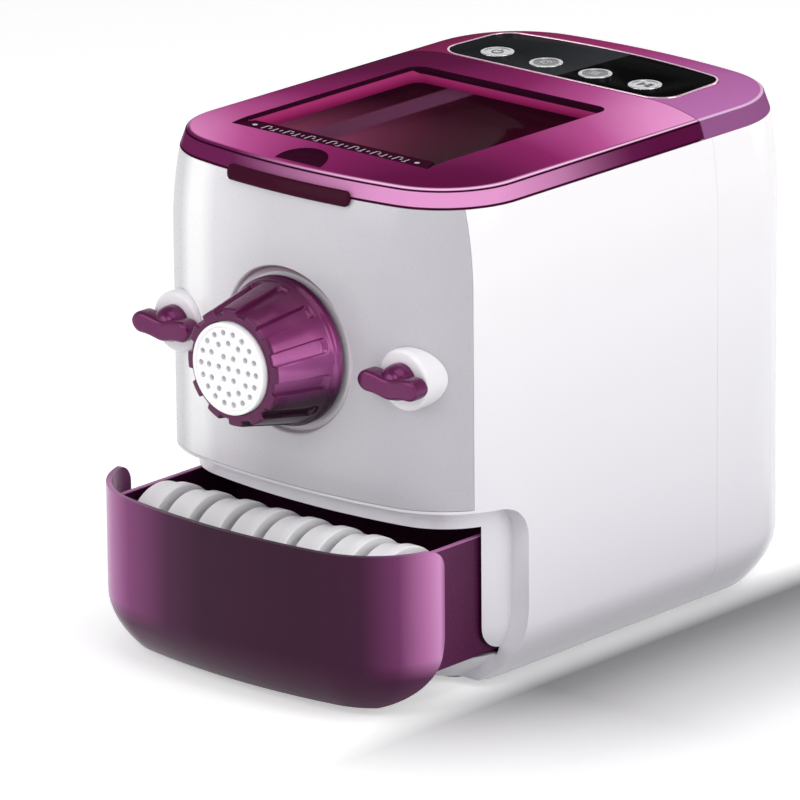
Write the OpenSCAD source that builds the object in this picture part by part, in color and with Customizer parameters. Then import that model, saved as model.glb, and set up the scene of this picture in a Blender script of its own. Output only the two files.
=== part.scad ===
/* [Body] */
// Width of the body across its flat sides
body_w = 232; // [224:1:245]
// Reach of the front face's middle, from the origin
front_reach = 130; // [127:1:136]
// Reach of the back face's middle, from the origin
rear_reach = 187; // [183:1:200]
// Radius of the bowed front face
front_r = 415; // [360:5:600]
// Radius of the two front corners
front_corner_r = 55; // [50:1:60]
// Radius of the bowed back face
rear_r = 412; // [360:5:600]
// Radius of the two rear corners
rear_corner_r = 65; // [58:1:72]
// Wall of the moulded body shells
wall = 3; // [2.5:0.1:3.5]
// Height of the top of the lid and the cap
top_z = 286; // [280:0.5:292]
// Height of the lid and the cap above the rim that they sit on
crown_h = 16; // [15:0.5:17]
// Lean of the sides at the rim
rim_lean = 4.3; // [3:0.1:6]
// Height at which the sides start to lean in
lean_z = 225; // [200:5:240]
// Drawing-in of the body at its lower edge
tuck = 16.4; // [14:0.2:18]
// Height at which the lower drawing-in starts
tuck_z = 35; // [30:1:38]
// Height of the body's lower edge, which is the height of the feet
foot_h = 4; // [3:0.5:6]

/* [Shell seams] */
// Place of the seam between the front panel and the housing
panel_seam_y = -99.5; // [-104:0.5:-96]
// Height of the lower edge of the front panel
panel_z = 105.8; // [104:0.2:108]
// Place of the seam between the housing and the rear shell
rear_seam_y = 90.5; // [88:0.5:100]
// Gap between two shells at a seam
seam = 0.3; // [0.2:0.05:0.5]

/* [Drawer] */
// How far the drawer stands open
drawer_open = 57; // [50:1:60]
// Depth of the cove that the drawer front closes into
cove_d = 12; // [11:0.5:13]
// Place of the rear edge of the cove, seen from the side
cove_y = -66; // [-70:1:-62]
// Height of the top of the cove
cove_z = 104; // [102:0.5:104.5]
// Radius of the cove's upper corner
cove_r = 20; // [16:1:24]
// Gap from the cove's edge to the drawer front
cove_gap = 9.5; // [6:0.5:11]
// Width of the drawer opening
mouth_w = 201; // [198:1:201]
// Height of the floor of the drawer opening
mouth_z = 17; // [16:0.5:18]
// Height of the top of the drawer opening
mouth_top = 92; // [91.5:0.5:94]
// Wall of the drawer front
drawer_wall = 3; // [2.4:0.2:3.4]
// Wall of the drawer tray
tray_wall = 2.5; // [2:0.1:3]
// Outside width of the tray
tray_w = 196; // [192:1:197]
// Height of the underside of the tray
tray_z = 19; // [18:0.5:20]
// Height of the rim of the tray
tray_top = 86; // [76:1:88]
// Length of the tray behind the opening
tray_l = 108; // [100:1:110]

/* [Shaping dies] */
// Radius of a shaping die
die_r = 27.8; // [26:0.2:28]
// Thickness of a shaping die's flange
die_flange = 5; // [4:0.5:6]
// Radius of the face of a die that shows through the nut
die_face_r = 25.2; // [24.6:0.1:26.4]
// Number of spare dies in the drawer
spare_n = 8; // [8]
// Distance from one spare die to the next
spare_pitch = 23.2; // [20:0.2:23.4]
// Thickness of a spare die
spare_t = 17; // [12:0.5:18]
// Height of the middle of the spare dies
spare_z = 62.4; // [58:0.2:62.6]
// Place of the middle of the spare dies, with the drawer open
spare_y = -134; // [-140:1:-130]

/* [Extruder] */
// Height of the mixing shaft, the barrel and the nut
shaft_z = 180; // [179:0.5:182]
// Radius of the bore of the barrel
barrel_bore_r = 23.8; // [22:0.2:24.4]
// Outside radius of the barrel
barrel_r = 28; // [27.4:0.1:28.2]
// Reach of the barrel's front end
barrel_y = -160; // [-163:0.5:-157]
// Radius of the round recess in the front panel
recess_r = 45; // [43:0.5:47]
// Radius of the foot of the locking nut
nut_r = 41; // [39:0.5:42]
// Radius of the rim of the locking nut
nut_rim_r = 31.5; // [31:0.1:34]
// Length of the locking nut
nut_l = 43; // [40:0.5:46]
// Number of grooves on the locking nut
nut_grooves = 12; // [10:1:14]
// Width of a groove on the locking nut
groove_w = 8.4; // [6:0.2:10]
// Depth of a groove on the locking nut
groove_d = 2.7; // [1.5:0.1:3.2]
// Radial play of the nut on the barrel
thread_play = 0.3; // [0.2:0.05:0.4]
// Distance of the wing knobs from the middle
knob_x = 81.6; // [79:0.2:84]
// Height of the wing knobs
knob_z = 179; // [175:0.5:183]
// Length of a wing knob
knob_l = 41; // [36:0.5:44]
// Radius of the studs of the wing knobs
stud_r = 4; // [3:0.2:5]
// Radius of the washer behind a wing knob
washer_r = 17; // [14:0.5:20]
// How far a washer stands out from the panel
washer_t = 5.6; // [4:0.2:8]

/* [Mixing chamber] */
// Inside radius of the trough of the mixing bowl
bowl_r = 62; // [56:0.5:64]
// Place of the inside of the bowl's front wall
bowl_front_y = -95; // [-96:0.5:-90]
// Place of the inside of the bowl's rear wall
bowl_rear_y = 70; // [64:0.5:71]
// Wall of the mixing bowl
bowl_wall = 2.5; // [2:0.1:3]
// Radius of the core of the mixing screw
core_r = 9; // [8:0.2:10]
// Pitch of the screw flight
flight_pitch = 30; // [24:1:36]

/* [Lid] */
// Width of the window in the lid
window_w = 140; // [130:1:144]
// Place of the front edge of the window
window_front_y = -81; // [-84:0.5:-76]
// Place of the rear edge of the window
window_rear_y = 56; // [50:0.5:58]
// Depth of the window below the top of the lid
window_d = 9; // [7:0.5:10]
// Radius of the window's rear corners
window_corner_r = 9; // [6:0.5:12]
// Reach of the sloped front wall of the window ahead of the window's floor
window_slope = 14; // [10:0.5:16]
// Place of the seam between the lid and the cap
lid_seam_y = 83.7; // [82:0.1:84.5]
// Length of the dark grip on the front of the lid
grip_l = 88; // [70:1:100]
// Radius of the hinge pins
pin_r = 1.6; // [1.4:0.1:1.8]
// Running clearance of pins and shafts
running = 0.06; // [0.03:0.01:0.09]
// Clearance of a hub that is fixed on its shaft
hub_play = 0.03; // [0.02:0.01:0.05]
// Gap at the seam between the lid and the cap
lid_gap = 0.9; // [0.8:0.1:1.2]

/* [Controls] */
// Radius of a button
button_r = 9.4; // [8:0.1:10]
// Distance from one button to the next
button_pitch = 35.4; // [30:0.2:38]
// Place of the row of buttons
button_y = 104; // [100:0.5:108]
// Travel of a button
button_travel = 1; // [0.6:0.1:1.2]

/* [Gears] */
// Tooth size of the slow pair of gears
slow_m = 2; // [2]
// Tooth size of the fast pair of gears
fast_m = 1.25; // [1.25]
// Teeth of the output gear
output_teeth = 48; // [48]
// Teeth of the idler's small gear
idler_small_teeth = 16; // [16]
// Teeth of the idler's large gear
idler_large_teeth = 60; // [60]
// Teeth of the motor pinion
pinion_teeth = 14; // [14]
// Radius of the output shaft
shaft_r = 8; // [7:0.2:8.4]
// Radius of the idler's pin
idler_pin_r = 4; // [3:0.2:5]
// Radius of the motor can
motor_r = 36; // [30:0.5:36]
// Length of the motor can
motor_l = 74; // [60:1:76]

/* [Hidden] */

half_w = body_w / 2;
rim_z = top_z - crown_h;
// Heights that the rounded lower edge and the leaning upper part are built through
body_heights = [for (k = [0:4]) foot_h + (tuck_z - foot_h) * k / 4,
  for (k = [0:2]) lean_z + (rim_z - lean_z) * k / 2];

// Plan outline of the body, drawn in by t: bowed front, round corners, straight sides, bowed back
front_cy = -front_reach + front_r;
corner_x = half_w - front_corner_r;
front_q = asin(corner_x / (front_r - front_corner_r));
corner_y = front_cy - sqrt(pow(front_r - front_corner_r, 2) - pow(corner_x, 2));
rear_cy = rear_reach - rear_r;
rear_corner_x = half_w - rear_corner_r;
rear_q = asin(rear_corner_x / (rear_r - rear_corner_r));
rear_corner_y = rear_cy + sqrt(pow(rear_r - rear_corner_r, 2) - pow(rear_corner_x, 2));

function arc(cx, cy, r, q0, q1, n) = [for (k = [0:n]) let (q = q0 + (q1 - q0) * k / n)
  [cx + r * sin(q), cy - r * cos(q)]];
function half_outline(t) = concat(
  arc(0, front_cy, front_r - t, 0, front_q, 4),
  [for (k = [1:6]) let (q = front_q + (90 - front_q) * k / 6)
    [corner_x + (front_corner_r - t) * sin(q), corner_y - (front_corner_r - t) * cos(q)]],
  arc(rear_corner_x, rear_corner_y, rear_corner_r - t, 90, 180 - rear_q, 7),
  [for (k = [1:3]) let (q = 180 - rear_q + rear_q * k / 3)
    [(rear_r - t) * sin(q), rear_cy - (rear_r - t) * cos(q)]]);
function outline(t) = let (h = half_outline(t), n = len(h))
  concat(h, [for (k = [n - 2:-1:1]) [-h[k][0], h[k][1]]]);

// Drawing-in of the body at height z, straight between the heights above
draw_in_at = [for (z = body_heights) [z, z < tuck_z ? tuck * pow((tuck_z - z) / (tuck_z - foot_h), 2)
  : z > lean_z ? rim_lean * pow((z - lean_z) / (rim_z - lean_z), 2) : 0]];
function draw_in(z) = lookup(z, draw_in_at);

// Closed solid through outlines at [height, drawing-in] levels
module loft(levels) {
  n = len(outline(0));
  points = [for (l = levels) for (p = outline(l[1])) [p[0], p[1], l[0]]];
  sides = [for (k = [0:len(levels) - 2]) for (i = [0:n - 1])
    let (j = (i + 1) % n, a = k * n + i, b = k * n + j)
    each [[a, a + n, b + n], [a, b + n, b]]];
  top = (len(levels) - 1) * n;
  polyhedron(points, concat([[for (i = [0:n - 1]) i]], sides, [[for (i = [n - 1:-1:0]) top + i]]));
}

// The body's own form from z0 to z1, drawn in by a further t
module form(z0, z1, t) {
  loft(concat([[z0, draw_in(z0) + t]],
    [for (z = body_heights) if (z > z0 + 0.1 && z < z1 - 0.1) [z, draw_in(z) + t]],
    [[z1, draw_in(z1) + t]]));
}

// A block between two corners
module block(low, high) {
  translate(low) cube([high[0] - low[0], high[1] - low[1], high[2] - low[2]]);
}
// A round bar along Y, and one along X
module bar_y(r, y0, y1, x = 0, z = 0, fn = 48) {
  translate([x, y1, z]) rotate([90, 0, 0]) cylinder(r = r, h = y1 - y0, $fn = fn);
}
module bar_x(r, x0, x1, y = 0, z = 0, fn = 48) {
  translate([x0, y, z]) rotate([0, 90, 0]) cylinder(r = r, h = x1 - x0, $fn = fn);
}

// Side view of the cove, grown by -g, cut right across the body
cove_low_r = 60;
cove_low_z = 48;
module cove_profile(g) {
  corner = [for (k = [0:6]) let (q = 90 - 90 * k / 6)
    [cove_y - cove_r + (cove_r - g) * cos(q), cove_z - cove_r + (cove_r - g) * sin(q)]];
  sweep = [for (k = [0:6]) let (q = -70 * k / 6)
    [cove_y - cove_low_r + (cove_low_r - g) * cos(q), cove_low_z + (cove_low_r - g) * sin(q)]];
  rotate([90, 0, 90]) translate([0, 0, -body_w])
    linear_extrude(2 * body_w)
      polygon(concat([[-300, -40], [-300, cove_z - g]], corner, sweep, [[sweep[6][0], -40]]));
}

shell_bore = wall + seam;
boss_r = 5;
base_top = foot_h + 5;
boss_x = half_w - 28;
boss_spots = [[-boss_x, 16], [boss_x, 16], [-boss_x, 76], [boss_x, 76]];
module screw_boss(x, y) {
  side = sign(x);
  difference() {
    union() {
      translate([x, y, base_top + seam]) cylinder(r = boss_r, h = 24, $fn = 32);
      block([side > 0 ? x : -half_w + wall - 1, y - 1.5, base_top + 8],
        [side > 0 ? half_w - wall + 1 : x, y + 1.5, base_top + 24]);
    }
    translate([x, y, base_top - 1]) cylinder(r = 2.05, h = 16, $fn = 32);
  }
}

module housing() color([0.93, 0.92, 0.95]) {
  difference() {
    union() {
      difference() {
        form(foot_h, rim_z, 0);
        form(foot_h - 2, rim_z + 2, wall);
      }
      intersection() {
        difference() {
          form(foot_h, panel_z + 4, 0);
          form(foot_h - 2, panel_z + 6, cove_d + wall);
        }
        cove_profile(-wall);
      }
    }
    difference() {
      cove_profile(0);
      form(foot_h - 4, panel_z + 40, cove_d);
    }
    block([-mouth_w / 2, -200, mouth_z], [mouth_w / 2, cove_y + 6, mouth_top]);
    difference() {
      block([-200, -300, panel_z - seam], [200, panel_seam_y, 400]);
      form(panel_z - 30, rim_z + 4, wall + 0.4);
    }
    block([-200, rear_seam_y, -10], [200, 300, 400]);
  }
  intersection() {
    for (p = boss_spots) screw_boss(p[0], p[1]);
    form(foot_h, base_top + 40, 0.5);
  }
}

vent_n = 9;
vent_pitch = 7;
inlet_x = 34;
inlet_z = 45;
inlet_w = 30;
inlet_h = 22;
module rear_shell() color([0.93, 0.92, 0.95]) difference() {
  form(foot_h, rim_z, 0);
  form(foot_h - 2, rim_z + 2, wall);
  block([-200, -300, -10], [200, rear_seam_y, 400]);
  for (k = [0:vent_n - 1]) for (side = [-1, 1])
    block([side * 36 - 26, 150, 120 + vent_pitch * k], [side * 36 + 26, 220, 123 + vent_pitch * k]);
  block([inlet_x - inlet_w / 2, 150, inlet_z - inlet_h / 2],
    [inlet_x + inlet_w / 2, 220, inlet_z + inlet_h / 2]);
}

recess_y = -front_reach + 4.5;
module front_panel() color([0.86, 0.85, 0.89]) difference() {
  union() {
    difference() {
      form(panel_z, rim_z, 0);
      form(panel_z - 2, rim_z + 2, wall);
    }
    intersection() {
      form(panel_z, rim_z - 2, 0);
      bar_y(recess_r + 3, -front_reach - 5, recess_y + wall, 0, shaft_z, 72);
    }
  }
  block([-200, panel_seam_y - seam, 0], [200, 300, 400]);
  bar_y(recess_r, -front_reach - 10, recess_y, 0, shaft_z, 72);
  bar_y(barrel_r + 3, -front_reach - 10, recess_y + 10, 0, shaft_z, 72);
  for (side = [-1, 1]) bar_y(stud_r + 0.5, -200, -100, side * knob_x, knob_z);
}

foot_x = half_w - 46;
rear_foot_x = half_w - 36;
foot_spots = [[-foot_x, 56 - front_reach], [foot_x, 56 - front_reach],
  [-rear_foot_x, rear_reach - 59], [rear_foot_x, rear_reach - 59]];
module base_plate() color([0.8, 0.8, 0.83]) difference() {
  form(foot_h + 1, base_top, shell_bore + 0.1);
  difference() {
    cove_profile(-shell_bore);
    form(foot_h - 4, base_top + 20, cove_d + shell_bore);
  }
  for (p = boss_spots) translate([p[0], p[1], 0]) cylinder(r = 2.3, h = 20, $fn = 32);
  for (k = [0:7]) block([-30, 14 + 8 * k, 0], [30, 18 + 8 * k, 20]);
}

module feet() color([0.9, 0.9, 0.92]) for (p = foot_spots) translate([p[0], p[1], 0])
  rotate_extrude($fn = 48) polygon([[0, 0], [8, 0], [9.5, 1.5], [9.5, foot_h + 1], [0, foot_h + 1]]);

deck_z = rim_z - 8;
deck_top = rim_z - 4;
hinge_y = 79;
hinge_z = rim_z + 9;
ear_x = 52;
ear_t = 6;
module top_deck() color([0.9, 0.89, 0.92]) {
  difference() {
    form(deck_z, deck_top, shell_bore);
    block([-bowl_r - bowl_wall - 0.5, bowl_front_y - bowl_wall - 0.5, deck_z - 5],
      [bowl_r + bowl_wall + 0.5, bowl_rear_y + bowl_wall + 0.5, deck_top + 5]);
  }
  for (side = [-1, 1]) difference() {
    union() {
      block([side * (ear_x + ear_t / 2) - ear_t / 2, hinge_y - 3, deck_top],
        [side * (ear_x + ear_t / 2) + ear_t / 2, hinge_y + 3, hinge_z]);
      bar_x(3.8, side * (ear_x + ear_t / 2) - ear_t / 2, side * (ear_x + ear_t / 2) + ear_t / 2,
        hinge_y, hinge_z);
    }
    bar_x(pin_r + running, -90, 90, hinge_y, hinge_z);
  }
}

module front_bulkhead() color([0.7, 0.7, 0.74]) difference() {
  intersection() {
    form(panel_z + 4, deck_z - seam, shell_bore);
    block([-150, bowl_front_y - 13, 0], [150, bowl_front_y - 9, 300]);
  }
  bar_y(barrel_r + seam, -200, 0, 0, shaft_z, 72);
  for (side = [-1, 1]) bar_y(stud_r + running, -200, 0, side * knob_x, knob_z);
}

// Outer and inner forms that the lid and the cap share
border = 44;
glass_border = 39;
crown_levels = [[rim_z + 10, rim_lean + 3], [rim_z + 12.3, rim_lean + 7.7],
  [top_z - 1.2, rim_lean + 21], [top_z, border]];
module crown(z0) loft(concat([[z0, rim_lean]], crown_levels));
module crown_inside(drop) {
  loft([[rim_z - 2, rim_lean + 2.4], [rim_z + 9 - drop, rim_lean + 5.4], [rim_z + 11 - drop, rim_lean + 11],
    [top_z - 3.7 - drop, rim_lean + 24], [top_z - 2.6 - drop, border]]);
}

glass_z = top_z - 2;
glass_front_y = lid_seam_y + lid_gap + 2.1;
module glass_shape(grow) {
  offset(r = 14 + grow) offset(delta = -14) intersection() {
    translate([0, rear_cy]) circle(r = rear_r - glass_border, $fn = 180);
    polygon([[-81.5, glass_front_y], [81.5, glass_front_y], [76, rear_reach], [-76, rear_reach]]);
  }
}
module button_places() {
  for (k = [-1.5:1:1.5]) translate([k * button_pitch, button_y, 0]) children();
}
// Room in the cap for the rear edge of the lid, which turns about the hinge
sweep_y = lid_seam_y + lid_gap / 2 - hinge_y;
module lid_sweep() translate([0, hinge_y, hinge_z]) rotate([0, 90, 0]) rotate_extrude($fn = 96)
  polygon(concat([[0, -half_w + rim_lean], [norm([sweep_y, 0.5]), -half_w + rim_lean]],
    [for (l = crown_levels) [norm([sweep_y, l[0] - hinge_z]), l[1] - half_w]],
    [for (k = [len(crown_levels) - 1:-1:0]) let (l = crown_levels[k])
      [norm([sweep_y, l[0] - hinge_z]), half_w - l[1]]],
    [[norm([sweep_y, 0.5]), half_w - rim_lean], [0, half_w - rim_lean]]));
module control_cap() color([0.6, 0.3, 0.53]) {
  difference() {
    crown(rim_z);
    crown_inside(2);
    block([-200, -300, 0], [200, lid_seam_y + lid_gap, 400]);
    lid_sweep();
    translate([0, 0, glass_z]) linear_extrude(10) glass_shape(1.5);
    button_places() cylinder(r = button_r + seam, h = 400, $fn = 48);
  }
  intersection() {
    block([-150, hinge_y + 9, deck_top + seam], [150, hinge_y + 11, top_z - 4.5]);
    crown_inside(1.9);
  }
}
module control_glass() color([0.05, 0.04, 0.06]) difference() {
  translate([0, 0, glass_z]) linear_extrude(2) glass_shape(0);
  button_places() cylinder(r = button_r + seam, h = 400, $fn = 48);
}
module panel_trim() color([0.85, 0.7, 0.78]) translate([0, 0, glass_z]) linear_extrude(2.3) difference() {
  glass_shape(1.3);
  glass_shape(0.1);
}
button_top = top_z + 0.7;
button_edge = 0.6;
button_flange = 1.6;
flange_z = top_z - 4.6 - seam;
board_z = rim_z;
board_t = 1.6;
switch_h = 4.9;
stem_z = board_z + board_t + switch_h + button_travel + 0.2;
module button(k) color(abs(k) > 1 ? [0.75, 0.75, 0.78] : [0.12, 0.11, 0.13])
  translate([k * button_pitch, button_y, 0]) {
    translate([0, 0, flange_z]) cylinder(r = button_r, h = button_top - button_edge - flange_z, $fn = 48);
    translate([0, 0, button_top - button_edge])
      cylinder(r1 = button_r, r2 = button_r - button_edge, h = button_edge, $fn = 48);
    translate([0, 0, flange_z - button_flange]) cylinder(r = button_r + 1.5, h = button_flange, $fn = 48);
    translate([0, 0, stem_z]) cylinder(r = 2, h = flange_z - button_flange - stem_z, $fn = 32);
  }
module control_board() color([0.1, 0.4, 0.2]) {
  block([-66, button_y - 10, board_z], [66, button_y + 12, board_z + board_t]);
  for (x = [-60, 60]) for (y = [-6, 8]) translate([x, button_y + y, deck_top])
    cylinder(r = 2.5, h = board_z - deck_top, $fn = 24);
  button_places() translate([-3, -3, board_z + board_t]) cube([6, 6, switch_h - 1]);
  button_places() translate([0, 0, board_z + board_t]) cylinder(r = 1.6, h = switch_h, $fn = 24);
}

// A block between two corners with round corners in plan
module round_block(low, high, r) {
  for (x = [low[0] + r, high[0] - r]) for (y = [low[1] + r, high[1] - r])
    translate([x, y, low[2]]) cylinder(r = r, h = high[2] - low[2], $fn = 48);
  block([low[0] + r, low[1], low[2]], [high[0] - r, high[1], high[2]]);
  block([low[0], low[1] + r, low[2]], [high[0], high[1] - r, high[2]]);
}
// The window's outline grown by g, from one height to another, with square front corners
module window_block(g, z0, z1) {
  x = window_w / 2 + g;
  round_block([-x, window_front_y - g, z0], [x, window_rear_y + g, z1], window_corner_r + g);
  block([-x, window_front_y - g, z0], [x, 0, z1]);
}
window_floor = top_z - window_d;
ledge = 3;
lug_x = 64;
lug_t = 10;
notch_y = -front_reach + 12;
notch_r = 17;
notch_d = 5.5;
window_wall = 2.5;
pan_fit = 0.2;
collar_z = window_floor - 4;
// Room over the window's sloped front wall, grown by g and reaching down to z0
module slope_room(g, z0, z1) {
  run = window_slope / window_d;
  y0 = window_front_y - g * norm([1, run]) - run * (z0 - window_floor);
  rotate([90, 0, 90]) translate([0, 0, -window_w / 2 - g]) linear_extrude(window_w + 2 * g)
    polygon([[window_front_y + ledge, z0], [y0, z0], [y0 - run * (z1 - z0), z1],
      [window_front_y + ledge, z1]]);
}
module lid_frame() color([0.45, 0.1, 0.32, 0.9]) difference() {
  union() {
    difference() {
      crown(rim_z + seam);
      crown_inside(0);
    }
    window_block(window_wall, collar_z, top_z - 1);
    for (x = [-lug_x, lug_x])
      block([x - lug_t / 2, hinge_y - 4, hinge_z - 4], [x + lug_t / 2, hinge_y + 3, top_z - 1]);
    intersection() {
      crown(rim_z + seam);
      union() {
        slope_room(window_wall, collar_z, top_z);
        translate([0, notch_y, top_z - notch_d - 3.5])
          cylinder(r = notch_r + 1.5, h = notch_d + 3.5, $fn = 64);
      }
    }
  }
  slope_room(0, window_floor, top_z + 2);
  window_block(-ledge, 0, 400);
  window_block(0, window_floor - window_wall, 400);
  block([-200, lid_seam_y, 0], [200, 400, 400]);
  bar_x(pin_r + running, -90, 90, hinge_y, hinge_z);
  // Thumb notch, round at the rear and straight along the crease
  difference() {
    translate([0, notch_y, top_z - notch_d]) cylinder(r = notch_r, h = 20, $fn = 64);
    block([-30, -200, 0], [30, notch_y, 400]);
  }
  // Room for the lid's lower rear corners as it swings
  difference() {
    block([-150, hinge_y, rim_z - 5], [150, hinge_y + 10, hinge_z - 4.5]);
    bar_x(hinge_z - rim_z - seam, -160, 160, hinge_y, hinge_z, 72);
  }
}
module lid_window() color([0.75, 0.4, 0.6, 0.4]) difference() {
  window_block(-pan_fit, window_floor - window_wall, top_z - 1);
  window_block(-pan_fit - 2, window_floor, top_z + 5);
  block([-window_w / 2 + pan_fit + 2, window_front_y - 5, window_floor],
    [window_w / 2 - pan_fit - 2, 0, top_z + 5]);
}
seal_z = deck_top + 2.5 + seam;
module lid_seal() color([0.85, 0.85, 0.85]) difference() {
  window_block(window_wall, seal_z, collar_z);
  window_block(-ledge, 0, 400);
}
grip_fit = 0.04;
module lid_grip() color([0.16, 0.05, 0.12]) intersection() {
  difference() {
    loft([[rim_z - 4, rim_lean - 3.2], [rim_z + 4.5, rim_lean - 1.6]]);
    loft([[rim_z - 6, rim_lean - 1.2], [rim_z + seam - 0.02, rim_lean - 0.6],
      [rim_z + seam, rim_lean - grip_fit], crown_levels[0] - [0, grip_fit]]);
  }
  block([-grip_l / 2, -200, 0], [grip_l / 2, 0, 400]);
}
module hinge_pins() color("silver") for (side = [-1, 1])
  bar_x(pin_r, side > 0 ? ear_x : -70, side > 0 ? 70 : -ear_x, hinge_y, hinge_z);
module lid_switch() color([0.15, 0.15, 0.17]) {
  block([84, 40, deck_top], [96, 60, deck_top + 6]);
  bar_y(1.5, 44, 56, 90, deck_top + 6);
}

module trough(r, y0, y1, top) {
  bar_y(r, y0, y1, 0, shaft_z, 96);
  block([-r, y0, shaft_z], [r, y1, top]);
}
seal_r = shaft_r + 6;
module mixing_bowl() color([0.82, 0.82, 0.85]) difference() {
  union() {
    trough(bowl_r + bowl_wall, bowl_front_y - bowl_wall, bowl_rear_y + bowl_wall, deck_top + 2.5);
    block([-bowl_r - 12, bowl_front_y - 10, deck_top], [bowl_r + 12, bowl_rear_y + 4, deck_top + 2.5]);
    bar_y(barrel_r + 8, bowl_front_y - 9, bowl_front_y, 0, shaft_z, 72);
  }
  trough(bowl_r, bowl_front_y, bowl_rear_y, 400);
  bar_y(barrel_r + seam, -200, bowl_front_y - bowl_wall, 0, shaft_z, 72);
  bar_y(barrel_bore_r, -200, bowl_front_y + 1, 0, shaft_z, 72);
  bar_y(seal_r, 0, 200, 0, shaft_z);
}
module extrusion_barrel() color([0.8, 0.8, 0.84]) difference() {
  bar_y(barrel_r, barrel_y, bowl_front_y - bowl_wall, 0, shaft_z, 72);
  bar_y(barrel_bore_r, -300, 0, 0, shaft_z, 72);
}

// Helical flight, swept as a wedge that turns as it goes
module flight(y0, y1, r) {
  turns = (y1 - y0) / flight_pitch;
  steps = ceil(turns * 20);
  tip = 1.2;
  foot = 2.4;
  ring = [[core_r - 1, -foot], [r, -tip], [r, tip], [core_r - 1, foot]];
  points = [for (k = [0:steps]) let (q = 360 * turns * k / steps, y = y0 + (y1 - y0) * k / steps)
    for (c = ring) [c[0] * cos(q), y + c[1], shaft_z + c[0] * sin(q)]];
  sides = [for (k = [0:steps - 1]) for (i = [0:3]) let (j = (i + 1) % 4, a = 4 * k + i, b = 4 * k + j)
    each [[a, a + 4, b + 4], [a, b + 4, b]]];
  polyhedron(points, concat([[0, 1, 2, 3]], sides, [[for (i = [3:-1:0]) 4 * steps + i]]));
}
screw_tip_y = barrel_y + 6;
screw_rear_y = bowl_rear_y - 6;
paddle_reach = bowl_r - 3;
hex_r = 5.5;
module mixing_screw() color([0.75, 0.75, 0.78]) difference() {
  union() {
    bar_y(core_r, screw_tip_y, screw_rear_y, 0, shaft_z);
    flight(screw_tip_y + 3, bowl_front_y + 12, barrel_bore_r - 0.5);
    for (k = [0:3]) let (y = bowl_front_y + 28 + 36 * k)
      translate([0, y, shaft_z]) rotate([0, 90 * k + 20, 0]) {
        bar_y(core_r + 2.5, -6, 6);
        cylinder(r = 4.5, h = paddle_reach - 6, $fn = 32);
        translate([0, 0, paddle_reach - 12]) rotate([0, 0, 25]) translate([-2.5, -14, 0]) cube([5, 28, 9]);
      }
    bar_y(core_r + 4, screw_rear_y - 12, screw_rear_y, 0, shaft_z);
  }
  translate([0, screw_rear_y + 1, shaft_z]) rotate([90, 0, 0]) cylinder(r = hex_r + 0.1, h = 21, $fn = 6);
}

die_front_y = barrel_y - die_flange;
die_face_y = -front_reach + 1 - nut_l - 2.5;
// Hole pattern of a die: rings of round holes
module die_holes(rings, r, depth) {
  for (g = rings) for (k = [0:g[1] - 1])
    rotate([0, 0, 360 * k / g[1]]) translate([g[0], 0, -1]) cylinder(r = r, h = depth + 2, $fn = 16);
}
module shaping_die() color([0.95, 0.94, 0.93])
  translate([0, barrel_y, shaft_z]) rotate([90, 0, 0]) difference() {
    union() {
      cylinder(r = die_r - 0.3, h = die_flange, $fn = 72);
      cylinder(r = die_face_r, h = barrel_y - die_face_y, $fn = 72);
    }
    die_holes([[0, 1], [7, 6], [14, 12], [20.5, 18]], 1.6, barrel_y - die_face_y);
    translate([0, 0, -1]) cylinder(r = barrel_bore_r - 1, h = 4, $fn = 72);
  }

nut_y0 = -front_reach + 2;
nut_y1 = nut_y0 - nut_l;
nut_bore_r = barrel_r + thread_play;
groove_turn = 18;
groove_z = 9;
module locking_nut() color([0.35, 0.08, 0.28])
  translate([0, nut_y0, shaft_z]) rotate([90, 0, 0]) difference() {
    rotate_extrude($fn = 96) polygon([[nut_bore_r, 0], [nut_r, 0], [nut_r, 5], [nut_r - 1, 6.2],
      [nut_rim_r + 0.8, nut_l - 1], [nut_rim_r, nut_l], [die_face_r + thread_play, nut_l],
      [die_face_r + thread_play, nut_l - 4.5], [nut_bore_r, nut_l - 4.5]]);
    difference() {
      for (k = [0:nut_grooves - 1]) rotate([0, 0, groove_turn + 360 * k / nut_grooves])
        translate([barrel_r, 0, groove_z + groove_w / 2]) {
          rotate([0, 90, 0]) cylinder(r = groove_w / 2, h = nut_r, $fn = 32);
          block([0, -groove_w / 2, 0], [nut_r, groove_w / 2, nut_l]);
        }
      rotate_extrude($fn = 96) polygon([[0, -1], [nut_r - 1 - groove_d, -1], [nut_r - 1 - groove_d, 6.2],
        [nut_rim_r + 0.8 - groove_d, nut_l - 1], [nut_rim_r + 0.8 - groove_d, nut_l + 1], [0, nut_l + 1]]);
    }
  }

panel_at_knob = -front_reach + front_r - sqrt(pow(front_r, 2) - pow(knob_x, 2));
washer_y = panel_at_knob - washer_t;
knob_y = washer_y - seam;
knob_end_r = 6;
knob_back = 1.6;
knob_front = 12.8;
knob_hub_r = 10;
knob_hub_l = 11.4;
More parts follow.
